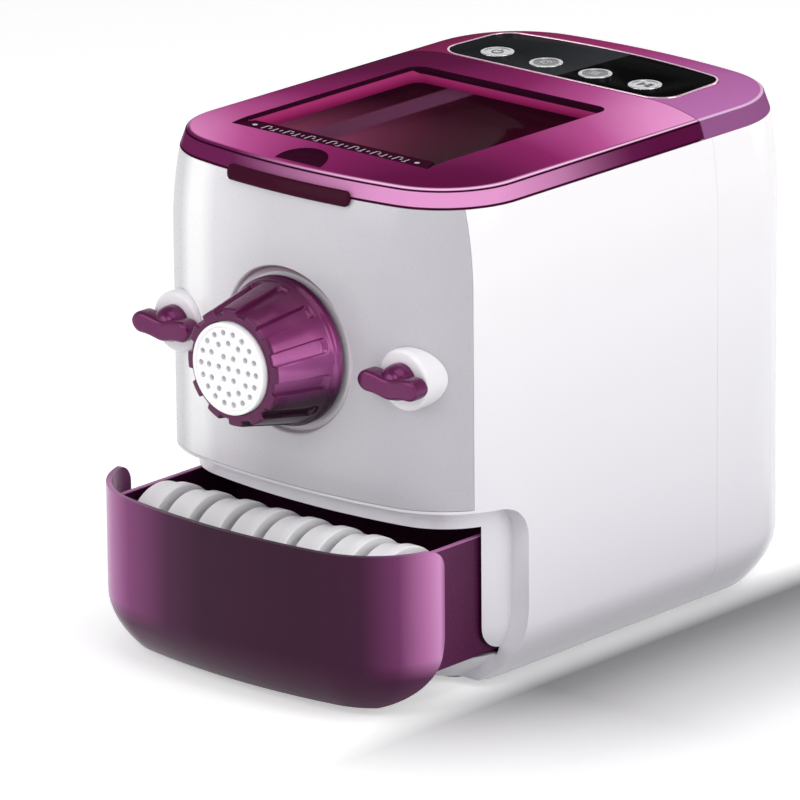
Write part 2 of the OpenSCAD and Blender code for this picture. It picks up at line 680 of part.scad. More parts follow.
// Half height of a wing knob at x, waisted on top and rounder below
function knob_top(x) = knob_end_r - 2.3 * exp(-pow(x / 8.5, 2));
function knob_foot(x) = knob_end_r + 2 * exp(-pow(x / 7, 2));
knob_xs = [for (k = [-8:8]) k / 8 * (knob_l / 2 - knob_end_r)];
stud_grip = 6;
module studs() color("silver") for (side = [-1, 1])
  bar_y(stud_r, knob_y - stud_grip, bowl_front_y - 9, side * knob_x, knob_z);
washer_edge = 1.4;
washer_l = washer_t + 14;
module washer(side) color([0.95, 0.94, 0.95]) difference() {
  translate([side * knob_x, washer_y + washer_l, knob_z]) rotate([90, 0, 0]) rotate_extrude($fn = 64)
    polygon([[0, 0], [washer_r, 0], [washer_r, washer_l - washer_edge],
      [washer_r - 0.3 * washer_edge, washer_l - 0.3 * washer_edge], [washer_r - washer_edge, washer_l],
      [0, washer_l]]);
  form(knob_z - 40, knob_z + 40, -seam);
  bar_y(stud_r + running, -200, 0, side * knob_x, knob_z);
}
module wing_knob(side) color([0.4, 0.1, 0.32])
  translate([side * knob_x, knob_y, knob_z]) rotate([90, 0, 0]) difference() {
    union() {
      rotate_extrude($fn = 64) polygon([[0, 0], [knob_hub_r, 0], [knob_hub_r, 2],
        [knob_hub_r - 0.8, 0.5 * knob_hub_l], [knob_hub_r - 2.6, 0.8 * knob_hub_l],
        [knob_hub_r - 5.4, 0.95 * knob_hub_l], [0, knob_hub_l]]);
      for (end = [-1, 1]) translate([end * (knob_l / 2 - knob_end_r), 0, knob_back])
        rotate_extrude($fn = 40) polygon([[0, 0], [knob_end_r - 1, 0], [knob_end_r, 1],
          [knob_end_r, knob_front - knob_back - 1], [knob_end_r - 1, knob_front - knob_back],
          [0, knob_front - knob_back]]);
      translate([0, 0, knob_back + 0.4]) linear_extrude(knob_front - knob_back - 0.8)
        polygon(concat([for (x = knob_xs) [x, -knob_foot(x)]],
          [for (k = [len(knob_xs) - 1:-1:0]) [knob_xs[k], knob_top(knob_xs[k])]]));
    }
    translate([0, 0, -1]) cylinder(r = stud_r + running, h = stud_grip + 2, $fn = 40);
  }

// The drawer, drawn closed and then carried forward by its opening
module opened() {
  translate([0, -drawer_open, 0]) children();
}
front_gap = 0.7;
module drawer_front() color([0.36, 0.14, 0.32]) opened() intersection() {
  difference() {
    form(foot_h + 1.5, cove_z - cove_gap, front_gap);
    form(tray_z - tray_wall - 6, cove_z + 20, front_gap + drawer_wall);
    form(foot_h - 2, tray_z - 1, cove_d - 1);
  }
  cove_profile(cove_gap);
}
tray_rear_y = cove_y - cove_gap - 39 + tray_l;
module drawer_tray() color([0.33, 0.12, 0.29]) opened() difference() {
  intersection() {
    form(tray_z, tray_top, front_gap + drawer_wall);
    block([-tray_w / 2, -200, tray_z], [tray_w / 2, tray_rear_y, tray_top]);
  }
  difference() {
    form(tray_z + tray_wall, tray_top + 10, front_gap + drawer_wall + tray_wall);
    block([-200, tray_rear_y - tray_wall, 0], [200, 300, 200]);
    for (side = [-1, 1]) block([side > 0 ? tray_w / 2 - tray_wall : -200, -200, 0],
      [side > 0 ? 200 : -tray_w / 2 + tray_wall, 300, 200]);
  }
}
tray_floor = tray_z + tray_wall;
rack_play = 0.3;
rack_half = 20;
rack_top = 44;
spare_x0 = -(spare_n - 1) / 2 * spare_pitch;
module die_rack() color([0.88, 0.87, 0.9]) difference() {
  block([-tray_w / 2 + tray_wall + 1, spare_y - rack_half, tray_floor],
    [tray_w / 2 - tray_wall - 1, spare_y + rack_half, rack_top]);
  for (k = [0:spare_n - 1]) bar_x(die_r + rack_play, spare_x0 + k * spare_pitch - spare_t / 2 - rack_play,
    spare_x0 + k * spare_pitch + spare_t / 2 + rack_play, spare_y, spare_z, 72);
}
// Each die has its own holes: [rings of [radius, count], hole radius]
die_kinds = [
  [[[8, 6], [16, 12]], 1.2], [[[10, 8], [18, 14]], 1.6], [[[9, 5], [17, 9]], 2.2], [[[12, 7]], 3],
  [[[6, 5], [12, 10], [19, 16]], 1], [[[13, 6]], 3.6], [[[10, 6], [18, 10]], 2], [[[9, 4], [18.5, 9]], 2.6]];
module spare_die(k) color([0.94, 0.93, 0.95])
  translate([spare_x0 + k * spare_pitch - spare_t / 2, spare_y, spare_z]) rotate([0, 90, 0]) difference() {
    rotate_extrude($fn = 72) polygon([[0, 0], [die_r - 1.5, 0], [die_r - 1.5, spare_t - 7],
      [die_r, spare_t - 6.4], [die_r, spare_t - 1], [die_r - 1, spare_t], [0, spare_t]]);
    die_holes(die_kinds[k % len(die_kinds)][0], die_kinds[k % len(die_kinds)][1], spare_t);
    translate([0, 0, -1]) cylinder(r = barrel_bore_r - 1, h = spare_t - 6, $fn = 72);
  }
runner_x = half_w - 36.5;
module drawer_runners() color([0.75, 0.75, 0.78]) for (side = [-1, 1])
  block([side * runner_x - 3.5, cove_y - 17, base_top], [side * runner_x + 3.5, cove_y + 62, tray_z - seam]);

// Gear train behind the bowl
gear_r = slow_m * output_teeth / 2;
idler_z = shaft_z - slow_m * (output_teeth + idler_small_teeth) / 2;
motor_z = idler_z - fast_m * (idler_large_teeth + pinion_teeth) / 2;
case_y = bowl_rear_y + bowl_wall + 11;
case_t = 4;
gear_y = case_y + case_t + 2;
gear_w = 12;
fast_y = gear_y + gear_w + 1.5;
fast_w = 6;
cover_y = fast_y + fast_w + 2.5;
pressure = 25;
backlash = 0.12;
// Half the angle of a tooth at radius r, for a gear of z teeth and size m
function roll(q) = (tan(q) - q * PI / 180) * 180 / PI;
function tooth_half(m, z, r) = let (pitch_r = m * z / 2, base_r = pitch_r * cos(pressure))
  90 / z - backlash / pitch_r * 180 / PI + roll(pressure) - roll(acos(min(1, base_r / r)));
module gear_shape(m, z) {
  pitch_r = m * z / 2;
  base_r = pitch_r * cos(pressure) + 0.02;
  root_r = pitch_r - 1.25 * m;
  flank = [max(base_r, root_r + 0.05), pitch_r - 0.35 * m, pitch_r + 0.3 * m, pitch_r + 0.95 * m];
  rise = [for (r = flank) [r, tooth_half(m, z, r)]];
  half = concat([[root_r, rise[0][1] + 1.2 / z]], rise);
  polygon([for (k = [0:z - 1]) let (q = 360 * k / z)
    each concat([for (p = half) p[0] * [cos(q - p[1]), sin(q - p[1])]],
      [for (i = [len(half) - 1:-1:0]) half[i][0] * [cos(q + half[i][1]), sin(q + half[i][1])]])]);
}
// A gear along Y whose tooth or gap points straight up
module gear_y_axis(m, z, w, y, h, tooth_up) {
  translate([0, y + w, h]) rotate([90, 0, 0]) rotate([0, 0, 90 + (tooth_up ? 0 : 180 / z)])
    linear_extrude(w) gear_shape(m, z);
}
module case_slab(grow, y0, y1) {
  bar_y(gear_r + 8 + grow, y0, y1, 0, shaft_z, 128);
  bar_y(fast_m * idler_large_teeth / 2 + 7 + grow, y0, y1, 0, idler_z, 128);
  bar_y(20 + grow, y0, y1, 0, motor_z, 96);
  block([-30 - grow, y0, idler_z], [30 + grow, y1, shaft_z]);
  block([-20 - grow, y0, motor_z], [20 + grow, y1, idler_z]);
}
module gearbox_case() color([0.7, 0.7, 0.72]) difference() {
  union() {
    case_slab(0, case_y, cover_y);
    block([-34, case_y, base_top], [34, case_y + case_t, motor_z]);
    block([-34, case_y, base_top], [34, case_y + 24, base_top + 4]);
  }
  case_slab(-3, case_y + case_t, cover_y + 5);
  bar_y(shaft_r + 6, 0, 200, 0, shaft_z);
  bar_y(idler_pin_r + running / 2, case_y + 1, 200, 0, idler_z);
  bar_y(7, 0, 200, 0, motor_z);
}
module gearbox_cover() color([0.66, 0.66, 0.68]) difference() {
  case_slab(0, cover_y, cover_y + case_t);
  bar_y(shaft_r + 6, 0, 200, 0, shaft_z);
  bar_y(idler_pin_r + running / 2, 0, cover_y + case_t - 1, 0, idler_z);
}
module shaft_bearings() color([0.8, 0.8, 0.82]) for (y = [case_y, cover_y]) difference() {
  bar_y(shaft_r + 5.95, y - (y == case_y ? 2 : 0), y + case_t, 0, shaft_z);
  bar_y(shaft_r + running, 0, 300, 0, shaft_z);
}
module shaft_seal() color([0.2, 0.2, 0.22]) difference() {
  bar_y(seal_r - 0.05, bowl_rear_y, bowl_rear_y + bowl_wall + 4, 0, shaft_z);
  bar_y(shaft_r + running, 0, 300, 0, shaft_z);
}
module output_shaft() color("silver") {
  bar_y(shaft_r, screw_rear_y + 0.4, cover_y + case_t, 0, shaft_z);
  translate([0, screw_rear_y + 0.4, shaft_z]) rotate([90, 0, 0]) cylinder(r = hex_r, h = 18, $fn = 6);
}
module output_gear() color([0.85, 0.8, 0.65]) difference() {
  union() {
    gear_y_axis(slow_m, output_teeth, gear_w, gear_y, shaft_z, false);
    bar_y(shaft_r + 6, gear_y - 1.5, cover_y - 1, 0, shaft_z);
  }
  bar_y(shaft_r + hub_play, 0, 300, 0, shaft_z);
  for (k = [0:5]) translate([0, 0, shaft_z]) rotate([0, 60 * k + 30, 0]) bar_y(9, 0, 300, 0, 27, 40);
}
module idler_gear() color([0.85, 0.82, 0.7]) difference() {
  union() {
    gear_y_axis(slow_m, idler_small_teeth, gear_w + 1.5, gear_y, idler_z, true);
    gear_y_axis(fast_m, idler_large_teeth, fast_w, fast_y, idler_z, true);
  }
  bar_y(idler_pin_r + running, 0, 300, 0, idler_z);
}
module idler_pin() color("silver") bar_y(idler_pin_r, case_y + 1, cover_y + case_t - 1, 0, idler_z);
module motor_pinion() color([0.7, 0.68, 0.6]) difference() {
  gear_y_axis(fast_m, pinion_teeth, fast_w + 1, fast_y - 0.5, motor_z, false);
  bar_y(rotor_r + hub_play, 0, 300, 0, motor_z);
}
motor_front = case_y - motor_l;
rotor_r = 3;
module motor() color([0.45, 0.46, 0.5]) difference() {
  union() {
    bar_y(motor_r, motor_front, case_y, 0, motor_z, 72);
    bar_y(motor_r + 1.5, motor_front + 14, case_y - 14, 0, motor_z, 72);
    bar_y(11, motor_front - 3, motor_front, 0, motor_z);
  }
  bar_y(rotor_r + running, -100, 300, 0, motor_z);
}
module motor_shaft() color("silver") bar_y(rotor_r, motor_front - 11, fast_y + fast_w + 1, 0, motor_z);
module cooling_fan() color([0.3, 0.3, 0.32]) difference() {
  union() {
    bar_y(8, motor_front - 10.5, motor_front - 4, 0, motor_z);
    for (k = [0:6]) translate([0, motor_front - 7.5, motor_z]) rotate([0, 360 / 7 * k, 0])
      rotate([0, 0, 35]) translate([-3.6, -0.8, 6]) cube([7.2, 1.6, 26]);
  }
  bar_y(rotor_r + hub_play, -100, 300, 0, motor_z);
}
board_x1 = inlet_x - inlet_w / 2;
board_x0 = board_x1 - 74;
board_y1 = rear_reach - 22;
board_y0 = board_y1 - 38;
module power_board() color([0.1, 0.38, 0.22]) {
  block([board_x0, board_y0, base_top + 6], [board_x1, board_y1, base_top + 6 + board_t]);
  for (x = [board_x0 + 5, board_x1 - 5]) for (y = [board_y0 + 5, board_y1 - 5])
    translate([x, y, base_top]) cylinder(r = 3, h = 6, $fn = 24);
  block([board_x0 + 12, board_y0 + 8, base_top + 6 + board_t],
    [board_x0 + 30, board_y0 + 26, base_top + 30]);
  for (x = [board_x1 - 27, board_x1 - 11])
    translate([x, board_y0 + 18, base_top + 6 + board_t]) cylinder(r = 6, h = 24, $fn = 32);
}
inlet_face_y = rear_cy + sqrt(pow(rear_r, 2) - pow(inlet_x + inlet_w / 2, 2)) - 0.4;
module power_inlet() color([0.1, 0.1, 0.11]) {
  difference() {
    block([inlet_x - inlet_w / 2 + 0.2, inlet_face_y - 24, inlet_z - inlet_h / 2 + 0.2],
      [inlet_x + inlet_w / 2 - 0.2, inlet_face_y, inlet_z + inlet_h / 2 - 0.2]);
    block([inlet_x - 11.5, inlet_face_y - 16, inlet_z - 7.5],
      [inlet_x + 11.5, inlet_face_y + 5, inlet_z + 7.5]);
  }
  for (k = [-1, 0, 1]) block([inlet_x + 7 * k - 1, inlet_face_y - 17, inlet_z - 2 + (k == 0 ? 2 : 0)],
    [inlet_x + 7 * k + 1, inlet_face_y - 3, inlet_z + 2 + (k == 0 ? 2 : 0)]);
  block([inlet_x - 10, inlet_face_y - 40, base_top], [inlet_x + 10, inlet_face_y - 24, inlet_z]);
}
module base_screws() color("silver") for (p = boss_spots) translate([p[0], p[1], 0]) {
  translate([0, 0, foot_h + 1 - 2]) cylinder(r = 3.6, h = 2, $fn = 32);
  translate([0, 0, foot_h + 1]) cylinder(r = 2, h = 16, $fn = 32);
}
module gearbox_screws() color("silver") for (x = [-26, 26]) translate([x, case_y + 16, 0]) {
  translate([0, 0, base_top + 4]) cylinder(r = 4, h = 3, $fn = 32);
}

housing();
rear_shell();
front_panel();
base_plate();
feet();
top_deck();
front_bulkhead();
control_cap();
control_glass();
panel_trim();
button(-1.5);  // button_1
button(-0.5);  // button_2
button(0.5);  // button_3
button(1.5);  // button_4
control_board();
lid_frame();
lid_window();
lid_seal();
lid_grip();
hinge_pins();
lid_switch();
mixing_bowl();
extrusion_barrel();
mixing_screw();
shaping_die();
locking_nut();
studs();
washer(-1);  // left_washer
washer(1);  // right_washer
wing_knob(-1);  // left_wing_knob
wing_knob(1);  // right_wing_knob
drawer_front();
drawer_tray();
die_rack();
spare_die(0);  // spare_die_1
spare_die(1);  // spare_die_2
spare_die(2);  // spare_die_3
spare_die(3);  // spare_die_4
spare_die(4);  // spare_die_5
spare_die(5);  // spare_die_6
spare_die(6);  // spare_die_7
spare_die(7);  // spare_die_8
drawer_runners();
gearbox_case();
gearbox_cover();
output_shaft();
output_gear();
shaft_bearings();
shaft_seal();
idler_gear();
idler_pin();
motor();
motor_shaft();
motor_pinion();
cooling_fan();
power_board();
power_inlet();
base_screws();
gearbox_screws();
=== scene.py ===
"""Looks of the electric pasta maker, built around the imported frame. Helpers work in millimetres."""
import math

import bmesh
import bpy
import numpy as np
from mathutils import Matrix, Vector


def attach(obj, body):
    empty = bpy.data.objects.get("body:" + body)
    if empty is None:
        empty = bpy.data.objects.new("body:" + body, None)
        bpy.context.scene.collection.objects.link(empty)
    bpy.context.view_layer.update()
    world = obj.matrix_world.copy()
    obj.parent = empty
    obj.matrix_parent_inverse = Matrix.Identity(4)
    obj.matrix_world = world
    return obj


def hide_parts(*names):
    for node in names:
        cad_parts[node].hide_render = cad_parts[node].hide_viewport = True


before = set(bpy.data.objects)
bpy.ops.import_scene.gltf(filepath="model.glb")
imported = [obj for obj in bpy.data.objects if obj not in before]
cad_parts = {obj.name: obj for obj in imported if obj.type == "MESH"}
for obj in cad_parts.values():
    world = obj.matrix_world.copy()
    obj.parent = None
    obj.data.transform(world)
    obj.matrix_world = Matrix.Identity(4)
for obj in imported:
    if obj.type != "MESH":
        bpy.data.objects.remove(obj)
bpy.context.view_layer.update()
MM = 0.001
QUARTER = math.pi / 2

# ---------------------------------------------------------------- body form
HALF_W = 116.0
FRONT, FRONT_R, FRONT_CORNER_R = 130.0, 415.0, 55.0
REAR, REAR_R, REAR_CORNER_R = 187.0, 412.0, 65.0
WALL = 3.0
FOOT_H, TUCK, TUCK_Z = 4.0, 16.4, 35.0
RIM_Z, RIM_LEAN, LEAN_Z, TOP_Z = 270.0, 4.3, 225.0, 286.0
PANEL_SEAM_Y, PANEL_Z, REAR_SEAM_Y, SEAM = -99.5, 105.8, 90.5, 0.3
SHAFT_Z, KNOB_X, KNOB_Z = 180.0, 81.6, 179.0
DRAWER_OPEN = 57.0
COVE_D, COVE_Y, COVE_Z, COVE_R, COVE_GAP = 12.0, -66.0, 104.0, 20.0, 9.5
COVE_LOW_R, COVE_LOW_Z = 60.0, 48.0
MOUTH_Z, MOUTH_TOP, MOUTH_W = 17.0, 92.0, 201.0
HINGE_Y, HINGE_Z = 79.0, 279.0
LID_SEAM_Y, LID_GAP = 83.7, 0.9
WINDOW_W, WINDOW_FRONT, WINDOW_REAR, WINDOW_D, WINDOW_SLOPE = 140.0, -81.0, 56.0, 9.0, 14.0

# Cutters reach this far, well past the body.
SIDE, WIDE, BACK, HIGH = 200, 250, 300, 400

FRONT_CY = FRONT_R - FRONT
CORNER_X = HALF_W - FRONT_CORNER_R
FRONT_Q = math.asin(CORNER_X / (FRONT_R - FRONT_CORNER_R))
CORNER_Y = FRONT_CY - math.sqrt((FRONT_R - FRONT_CORNER_R) ** 2 - CORNER_X ** 2)
REAR_CY = REAR - REAR_R
REAR_CORNER_X = HALF_W - REAR_CORNER_R
REAR_Q = math.asin(REAR_CORNER_X / (REAR_R - REAR_CORNER_R))
REAR_CORNER_Y = REAR_CY + math.sqrt((REAR_R - REAR_CORNER_R) ** 2 - REAR_CORNER_X ** 2)


def ring(t, step=4.0):
    """The whole outline drawn in by t, counter-clockwise from the middle of the front."""
    half = []

    def spread(a, b, length, point):
        n = max(2, round(length / step))
        half.extend(point(a + (b - a) * k / n) for k in range(n))

    def front_arc(cx, cy, r):
        return lambda q: (cx + (r - t) * math.sin(q), cy - (r - t) * math.cos(q))

    def rear_arc(cx, cy, r):
        return lambda q: (cx + (r - t) * math.cos(q), cy + (r - t) * math.sin(q))
    front_corner = front_arc(CORNER_X, CORNER_Y, FRONT_CORNER_R)
    rear_corner = rear_arc(REAR_CORNER_X, REAR_CORNER_Y, REAR_CORNER_R)
    rear = rear_arc(0.0, REAR_CY, REAR_R)
    spread(0, FRONT_Q, FRONT_R * FRONT_Q, front_arc(0.0, FRONT_CY, FRONT_R))
    spread(FRONT_Q, QUARTER, FRONT_CORNER_R * (QUARTER - FRONT_Q), front_corner)
    spread(CORNER_Y, REAR_CORNER_Y, REAR_CORNER_Y - CORNER_Y, lambda y: (HALF_W - t, y))
    spread(0, QUARTER - REAR_Q, REAR_CORNER_R * (QUARTER - REAR_Q), rear_corner)
    spread(QUARTER - REAR_Q, QUARTER, REAR_R * REAR_Q, rear)
    half.append(rear(QUARTER))
    return half + [(-x, y) for x, y in half[-2:0:-1]]


def inset_and_normal(x, y):
    """How far a point lies inside the outline, and the outward direction there. Arrays in, arrays out."""
    ax = np.abs(x)
    sign = np.where(x < 0, -1.0, 1.0)
    t = HALF_W - ax
    nx, ny = np.ones_like(ax), np.zeros_like(ax)

    def arc(mask, cx, cy, r):
        dx, dy = ax - cx, y - cy
        d = np.maximum(np.hypot(dx, dy), 1e-9)
        t[mask], nx[mask], ny[mask] = (r - d)[mask], (dx / d)[mask], (dy / d)[mask]
    front_ang = np.arctan2(ax, FRONT_CY - y)
    rear_ang = np.arctan2(ax, y - REAR_CY)
    arc((y < CORNER_Y) & (front_ang >= FRONT_Q), CORNER_X, CORNER_Y, FRONT_CORNER_R)
    arc((y < 0) & (front_ang < FRONT_Q) & (y < CORNER_Y + 40), 0.0, FRONT_CY, FRONT_R)
    arc((y > REAR_CORNER_Y) & (rear_ang >= REAR_Q), REAR_CORNER_X, REAR_CORNER_Y, REAR_CORNER_R)
    arc((y > REAR_CORNER_Y - 30) & (rear_ang < REAR_Q), 0.0, REAR_CY, REAR_R)
    return t, nx * sign, ny


def draw_in(z):
    """Drawing-in of the body at height z."""
    if z < TUCK_Z:
        return TUCK * ((TUCK_Z - z) / (TUCK_Z - FOOT_H)) ** 2
    if z > LEAN_Z:
        return RIM_LEAN * ((z - LEAN_Z) / (RIM_Z - LEAN_Z)) ** 2
    return 0.0


def body_profile(z0, z1, t, step=3.0):
    """(drawing-in, height) points of the body's side from z0 to z1."""
    n = max(2, round((z1 - z0) / step))
    return [(draw_in(z) + t, z) for z in (z0 + (z1 - z0) * k / n for k in range(n + 1))]


def skins(top, *depths):
    """Fine profiles of the body's side at some depths, for follow_skins."""
    return [body_profile(0, top, t, 1.0) for t in depths]


def crown_profile(z0):
    """(drawing-in, height) points of the lid's and the cap's skirt, rim and crown."""
    rim_t, rim_z, rim_r, crown_t = RIM_LEAN + 3.0, RIM_Z + 10.0, 1.6, 44
    points = [(RIM_LEAN + 3.0 * f, z0 + (rim_z - z0 - rim_r) * f) for f in (k / 7 for k in range(7))]
    for k in range(7):
        q = math.radians(15 * k * 74 / 90)
        points.append((rim_t + rim_r * (1 - math.cos(q)), rim_z - rim_r + rim_r * math.sin(q)))
    t1, z1 = points[-1]
    return points + [(t1 + (crown_t - t1) * f, z1 + (TOP_Z - z1) * math.sin(QUARTER * f) ** 0.8)
                     for f in (k / 40 for k in range(1, 41))]


# ---------------------------------------------------------------- mesh helpers
def mend(ob, weld=0.0):
    """Turns the faces outwards, after joining points closer than weld metres where that is given."""
    bm = bmesh.new()
    bm.from_mesh(ob.data)
    if weld:
        bmesh.ops.remove_doubles(bm, verts=bm.verts, dist=weld)
        bmesh.ops.dissolve_degenerate(bm, edges=bm.edges, dist=weld / 10)
    bmesh.ops.recalc_face_normals(bm, faces=bm.faces)
    bm.to_mesh(ob.data)
    bm.free()


def new_object(name, verts, faces, smooth=True, place=None):
    """A mesh object from millimetre points, placed by a matrix where one is given."""
    if place is not None:
        verts = [place @ Vector(v) for v in verts]
    me = bpy.data.meshes.new(name)
    me.from_pydata([tuple(c * MM for c in v) for v in verts], [], [tuple(f) for f in faces])
    me.validate(clean_customdata=False)
    me.update()
    ob = bpy.data.objects.new(name, me)
    bpy.context.scene.collection.objects.link(ob)
    mend(ob)
    if smooth:
        me.shade_smooth()
    return ob


def apply_modifiers(ob):
    bpy.context.view_layer.update()
    dg = bpy.context.evaluated_depsgraph_get()
    me = bpy.data.meshes.new_from_object(ob.evaluated_get(dg), preserve_all_data_layers=True, depsgraph=dg)
    ob.modifiers.clear()
    old = ob.data
    ob.data = me
    me.name = ob.name
    bpy.data.meshes.remove(old)
    return ob


def cut(ob, *others, operation="DIFFERENCE"):
    """Takes the others off a piece, one after another. The others are used up."""
    for other in others:
        mod = ob.modifiers.new("cut", "BOOLEAN")
        mod.operation, mod.solver, mod.object = operation, "MANIFOLD", other
        apply_modifiers(ob)
        me = other.data
        bpy.data.objects.remove(other)
        bpy.data.meshes.remove(me)
    return ob


def join(ob, *others):
    return cut(ob, *others, operation="UNION")


def meet(ob, other):
    """Keeps what both share."""
    return cut(ob, other, operation="INTERSECT")


def solids(name, stacks, place=None):
    """One object of closed solids, each a stack of rings of equally many points."""
    verts, faces = [], []
    for rings in stacks:
        n, first = len(rings[0]), len(verts)
        last = first + n * (len(rings) - 1)
        verts += [p for points in rings for p in points]
        faces += [range(first, first + n)[::-1], range(last, last + n)]
        for a in range(first, last, n):
            faces += [(a + i, a + (i + 1) % n, a + n + (i + 1) % n, a + n + i) for i in range(n)]
    return new_object(name, verts, faces, False, place)


def loft(profile, name="cutter", step=4.0):
    """Closed solid through outlines at (drawing-in, height) points."""
    return solids(name, [[[(x, y, z) for x, y in ring(t, step)] for t, z in profile]])


def prism(outline_yz, half_w):
    """A side-view outline run across the body."""
    return solids("cutter", [[[(x, y, z) for y, z in outline_yz] for x in (-half_w, half_w)]])


def plates(name, outlines, z0, z1, place=None):
    """Flat plates with the given outlines, as one piece."""
    return solids(name, [[[(x, y, z) for x, y in outline] for z in (z0, z1)] for outline in outlines], place)


def slab(outline, z0, z1, name="cutter"):
    return plates(name, [outline], z0, z1)


def box_outline(x0, y0, x1, y1):
    return [(x0, y0), (x1, y0), (x1, y1), (x0, y1)]


def block(low, high):
    return slab(box_outline(*low[:2], *high[:2]), low[2], high[2])


def circle(x, y, r, n):
    return [(x + r * math.cos(q), y + r * math.sin(q)) for q in (2 * math.pi * k / n for k in range(n))]


def round_rect(x0, y0, x1, y1, r, n):
    """Corner points of a rounded rectangle, counter-clockwise."""
    points = []
    corners = ((x1 - r, y0 + r, -90), (x1 - r, y1 - r, 0), (x0 + r, y1 - r, 90), (x0 + r, y0 + r, 180))
    for cx, cy, q0 in corners:
        for k in range(n + 1):
            q = math.radians(q0 + 90 * k / n)
            points.append((cx + r * math.cos(q), cy + r * math.sin(q)))
    return points


def column(profile, q):
    """The points of an (r, h) profile turned by q about its own axis."""
    return [(r * math.cos(q), r * math.sin(q), h) for r, h in profile]


def turned(name, columns, closed=False, capped=False, place=None):
    """A surface through columns of points that stand round an axis."""
    n, steps, faces = len(columns[0]), len(columns), []
    for k in range(steps):
        a, b = k * n, (k + 1) % steps * n
        faces += [(a + i, b + i, b + (i + 1) % n, a + (i + 1) % n) for i in range(n if closed else n - 1)]
    if capped:
        faces += [range(0, steps * n, n), range(n - 1, steps * n, n)[::-1]]
    return new_object(name, [v for points in columns for v in points], faces, place=place)


def lathe(profile, steps=128, place=None, name="cutter", closed=False):
    """Turns an (r, h) profile about its own axis."""
    columns = [column(profile, 2 * math.pi * k / steps) for k in range(steps)]
    ob = turned(name, columns, closed, place=place)
    mend(ob, weld=1e-6)
    return ob


def drum(r, h0, h1, steps, place):
    return lathe([(0, h0), (r, h0), (r, h1), (0, h1)], steps, place)


def filleted(points, radii, n=5):
    """An open (r, h) polyline with its inner corners rounded."""
    out = [points[0]]
    for k in range(1, len(points) - 1):
        p, a, b = (Vector(points[j]) for j in (k, k - 1, k + 1))
        if radii[k] <= 0:
            out.append(tuple(p))
            continue
        da, db = a - p, b - p
        la, lb = da.length, db.length
        da.normalize()
        db.normalize()
        reach = min(radii[k] / math.tan(da.angle(db) / 2), la * 0.49, lb * 0.49)
        p0, p1 = p + da * reach, p + db * reach
        out += [tuple((1 - f) ** 2 * p0 + 2 * f * (1 - f) * p + f * f * p1)
                for f in (i / n for i in range(n + 1))]
    return out + [points[-1]]


def upright(x, y):
    return Matrix.Translation((x, y, 0))


def facing_front(x, y, z):
    """Places a lathe axis so that it points to the front from (x, y, z)."""
    return Matrix.Translation((x, y, z)) @ Matrix(((1, 0, 0, 0), (0, 0, -1, 0), (0, 1, 0, 0), (0, 0, 0, 1)))


def facing_right(x, y, z):
    return Matrix.Translation((x, y, z)) @ Matrix.Rotation(QUARTER, 4, "Y")


def sharpen(ob, angle=32):
    """Smooth shading with crisp edges above the angle in degrees."""
    ob.data.shade_smooth()
    ob.data.set_sharp_from_angle(angle=math.radians(angle))
    return ob


def soften(ob, width):
    """Rounds the sharp edges of a piece."""
    mod = ob.modifiers.new("round", "BEVEL")
    mod.width, mod.segments = width * MM, 2
    mod.limit_method, mod.angle_limit = "ANGLE", math.radians(35)
    return sharpen(apply_modifiers(ob))


def follow_skins(ob, profiles, tolerance=0.06, shift_y=0.0):
    """Gives every face that lies on one of the drawn-in profiles the true normal of that surface."""
    sharpen(ob)
    me = ob.data
    co = np.empty(len(me.vertices) * 3)
    me.vertices.foreach_get("co", co)
    co = co.reshape(-1, 3) / MM
    co[:, 1] -= shift_y
    t, nx, ny = inset_and_normal(co[:, 0].copy(), co[:, 1].copy())
    corner = np.empty(len(me.loops) * 3, dtype=np.float32)
    me.corner_normals.foreach_get("vector", corner)
    corner = corner.reshape(-1, 3)
    loop_vert = np.empty(len(me.loops), dtype=np.int32)
    me.loops.foreach_get("vertex_index", loop_vert)
    face_of_loop = np.repeat(np.arange(len(me.polygons)), [p.loop_total for p in me.polygons])
    face_normal = np.array([p.normal[:] for p in me.polygons])
    for profile in profiles:
        pts = np.array(profile)
        a, d = pts[:-1], np.diff(pts, axis=0)
        length = np.maximum(np.hypot(d[:, 0], d[:, 1]), 1e-9)
        tangent = d / length[:, None]
        at_vertex = np.vstack([tangent[:1], (tangent[:-1] + tangent[1:]) / 2, tangent[-1:]])
        at_vertex /= np.maximum(np.linalg.norm(at_vertex, axis=1)[:, None], 1e-9)
        q = np.stack([t, co[:, 2]], axis=1)
        best = np.full(len(q), 1e9)
        direction = np.zeros((len(q), 2))
        for k in range(len(d)):
            f = np.clip(((q - a[k]) @ tangent[k]) / length[k], 0, 1)
            near = a[k] + f[:, None] * d[k]
            dist = np.hypot(*(q - near).T)
            better = dist < best
            best[better] = dist[better]
            blend = at_vertex[k] * (1 - f[:, None]) + at_vertex[k + 1] * f[:, None]
            direction[better] = blend[better]
        normal = np.stack([nx * direction[:, 1], ny * direction[:, 1], direction[:, 0]], axis=1)
        normal /= np.maximum(np.linalg.norm(normal, axis=1)[:, None], 1e-9)
        on = best < tolerance
        face_on = np.ones(len(me.polygons), dtype=bool)
        np.logical_and.at(face_on, face_of_loop, on[loop_vert])
        agree = np.einsum("ij,ij->i", normal[loop_vert], face_normal[face_of_loop])
        picked = face_on[face_of_loop] & (np.abs(agree) > 0.8)
        corner[picked] = normal[loop_vert][picked] * np.sign(agree[picked])[:, None]
    me.normals_split_custom_set(corner.tolist())


# ---------------------------------------------------------------- materials
def srgb(r, g, b):
    """A colour as seen on screen (0-255) in the shader's own scale."""
    def lin(c):
        c /= 255
        return c / 12.92 if c <= 0.04045 else ((c + 0.055) / 1.055) ** 2.4
    return (lin(r), lin(g), lin(b), 1.0)


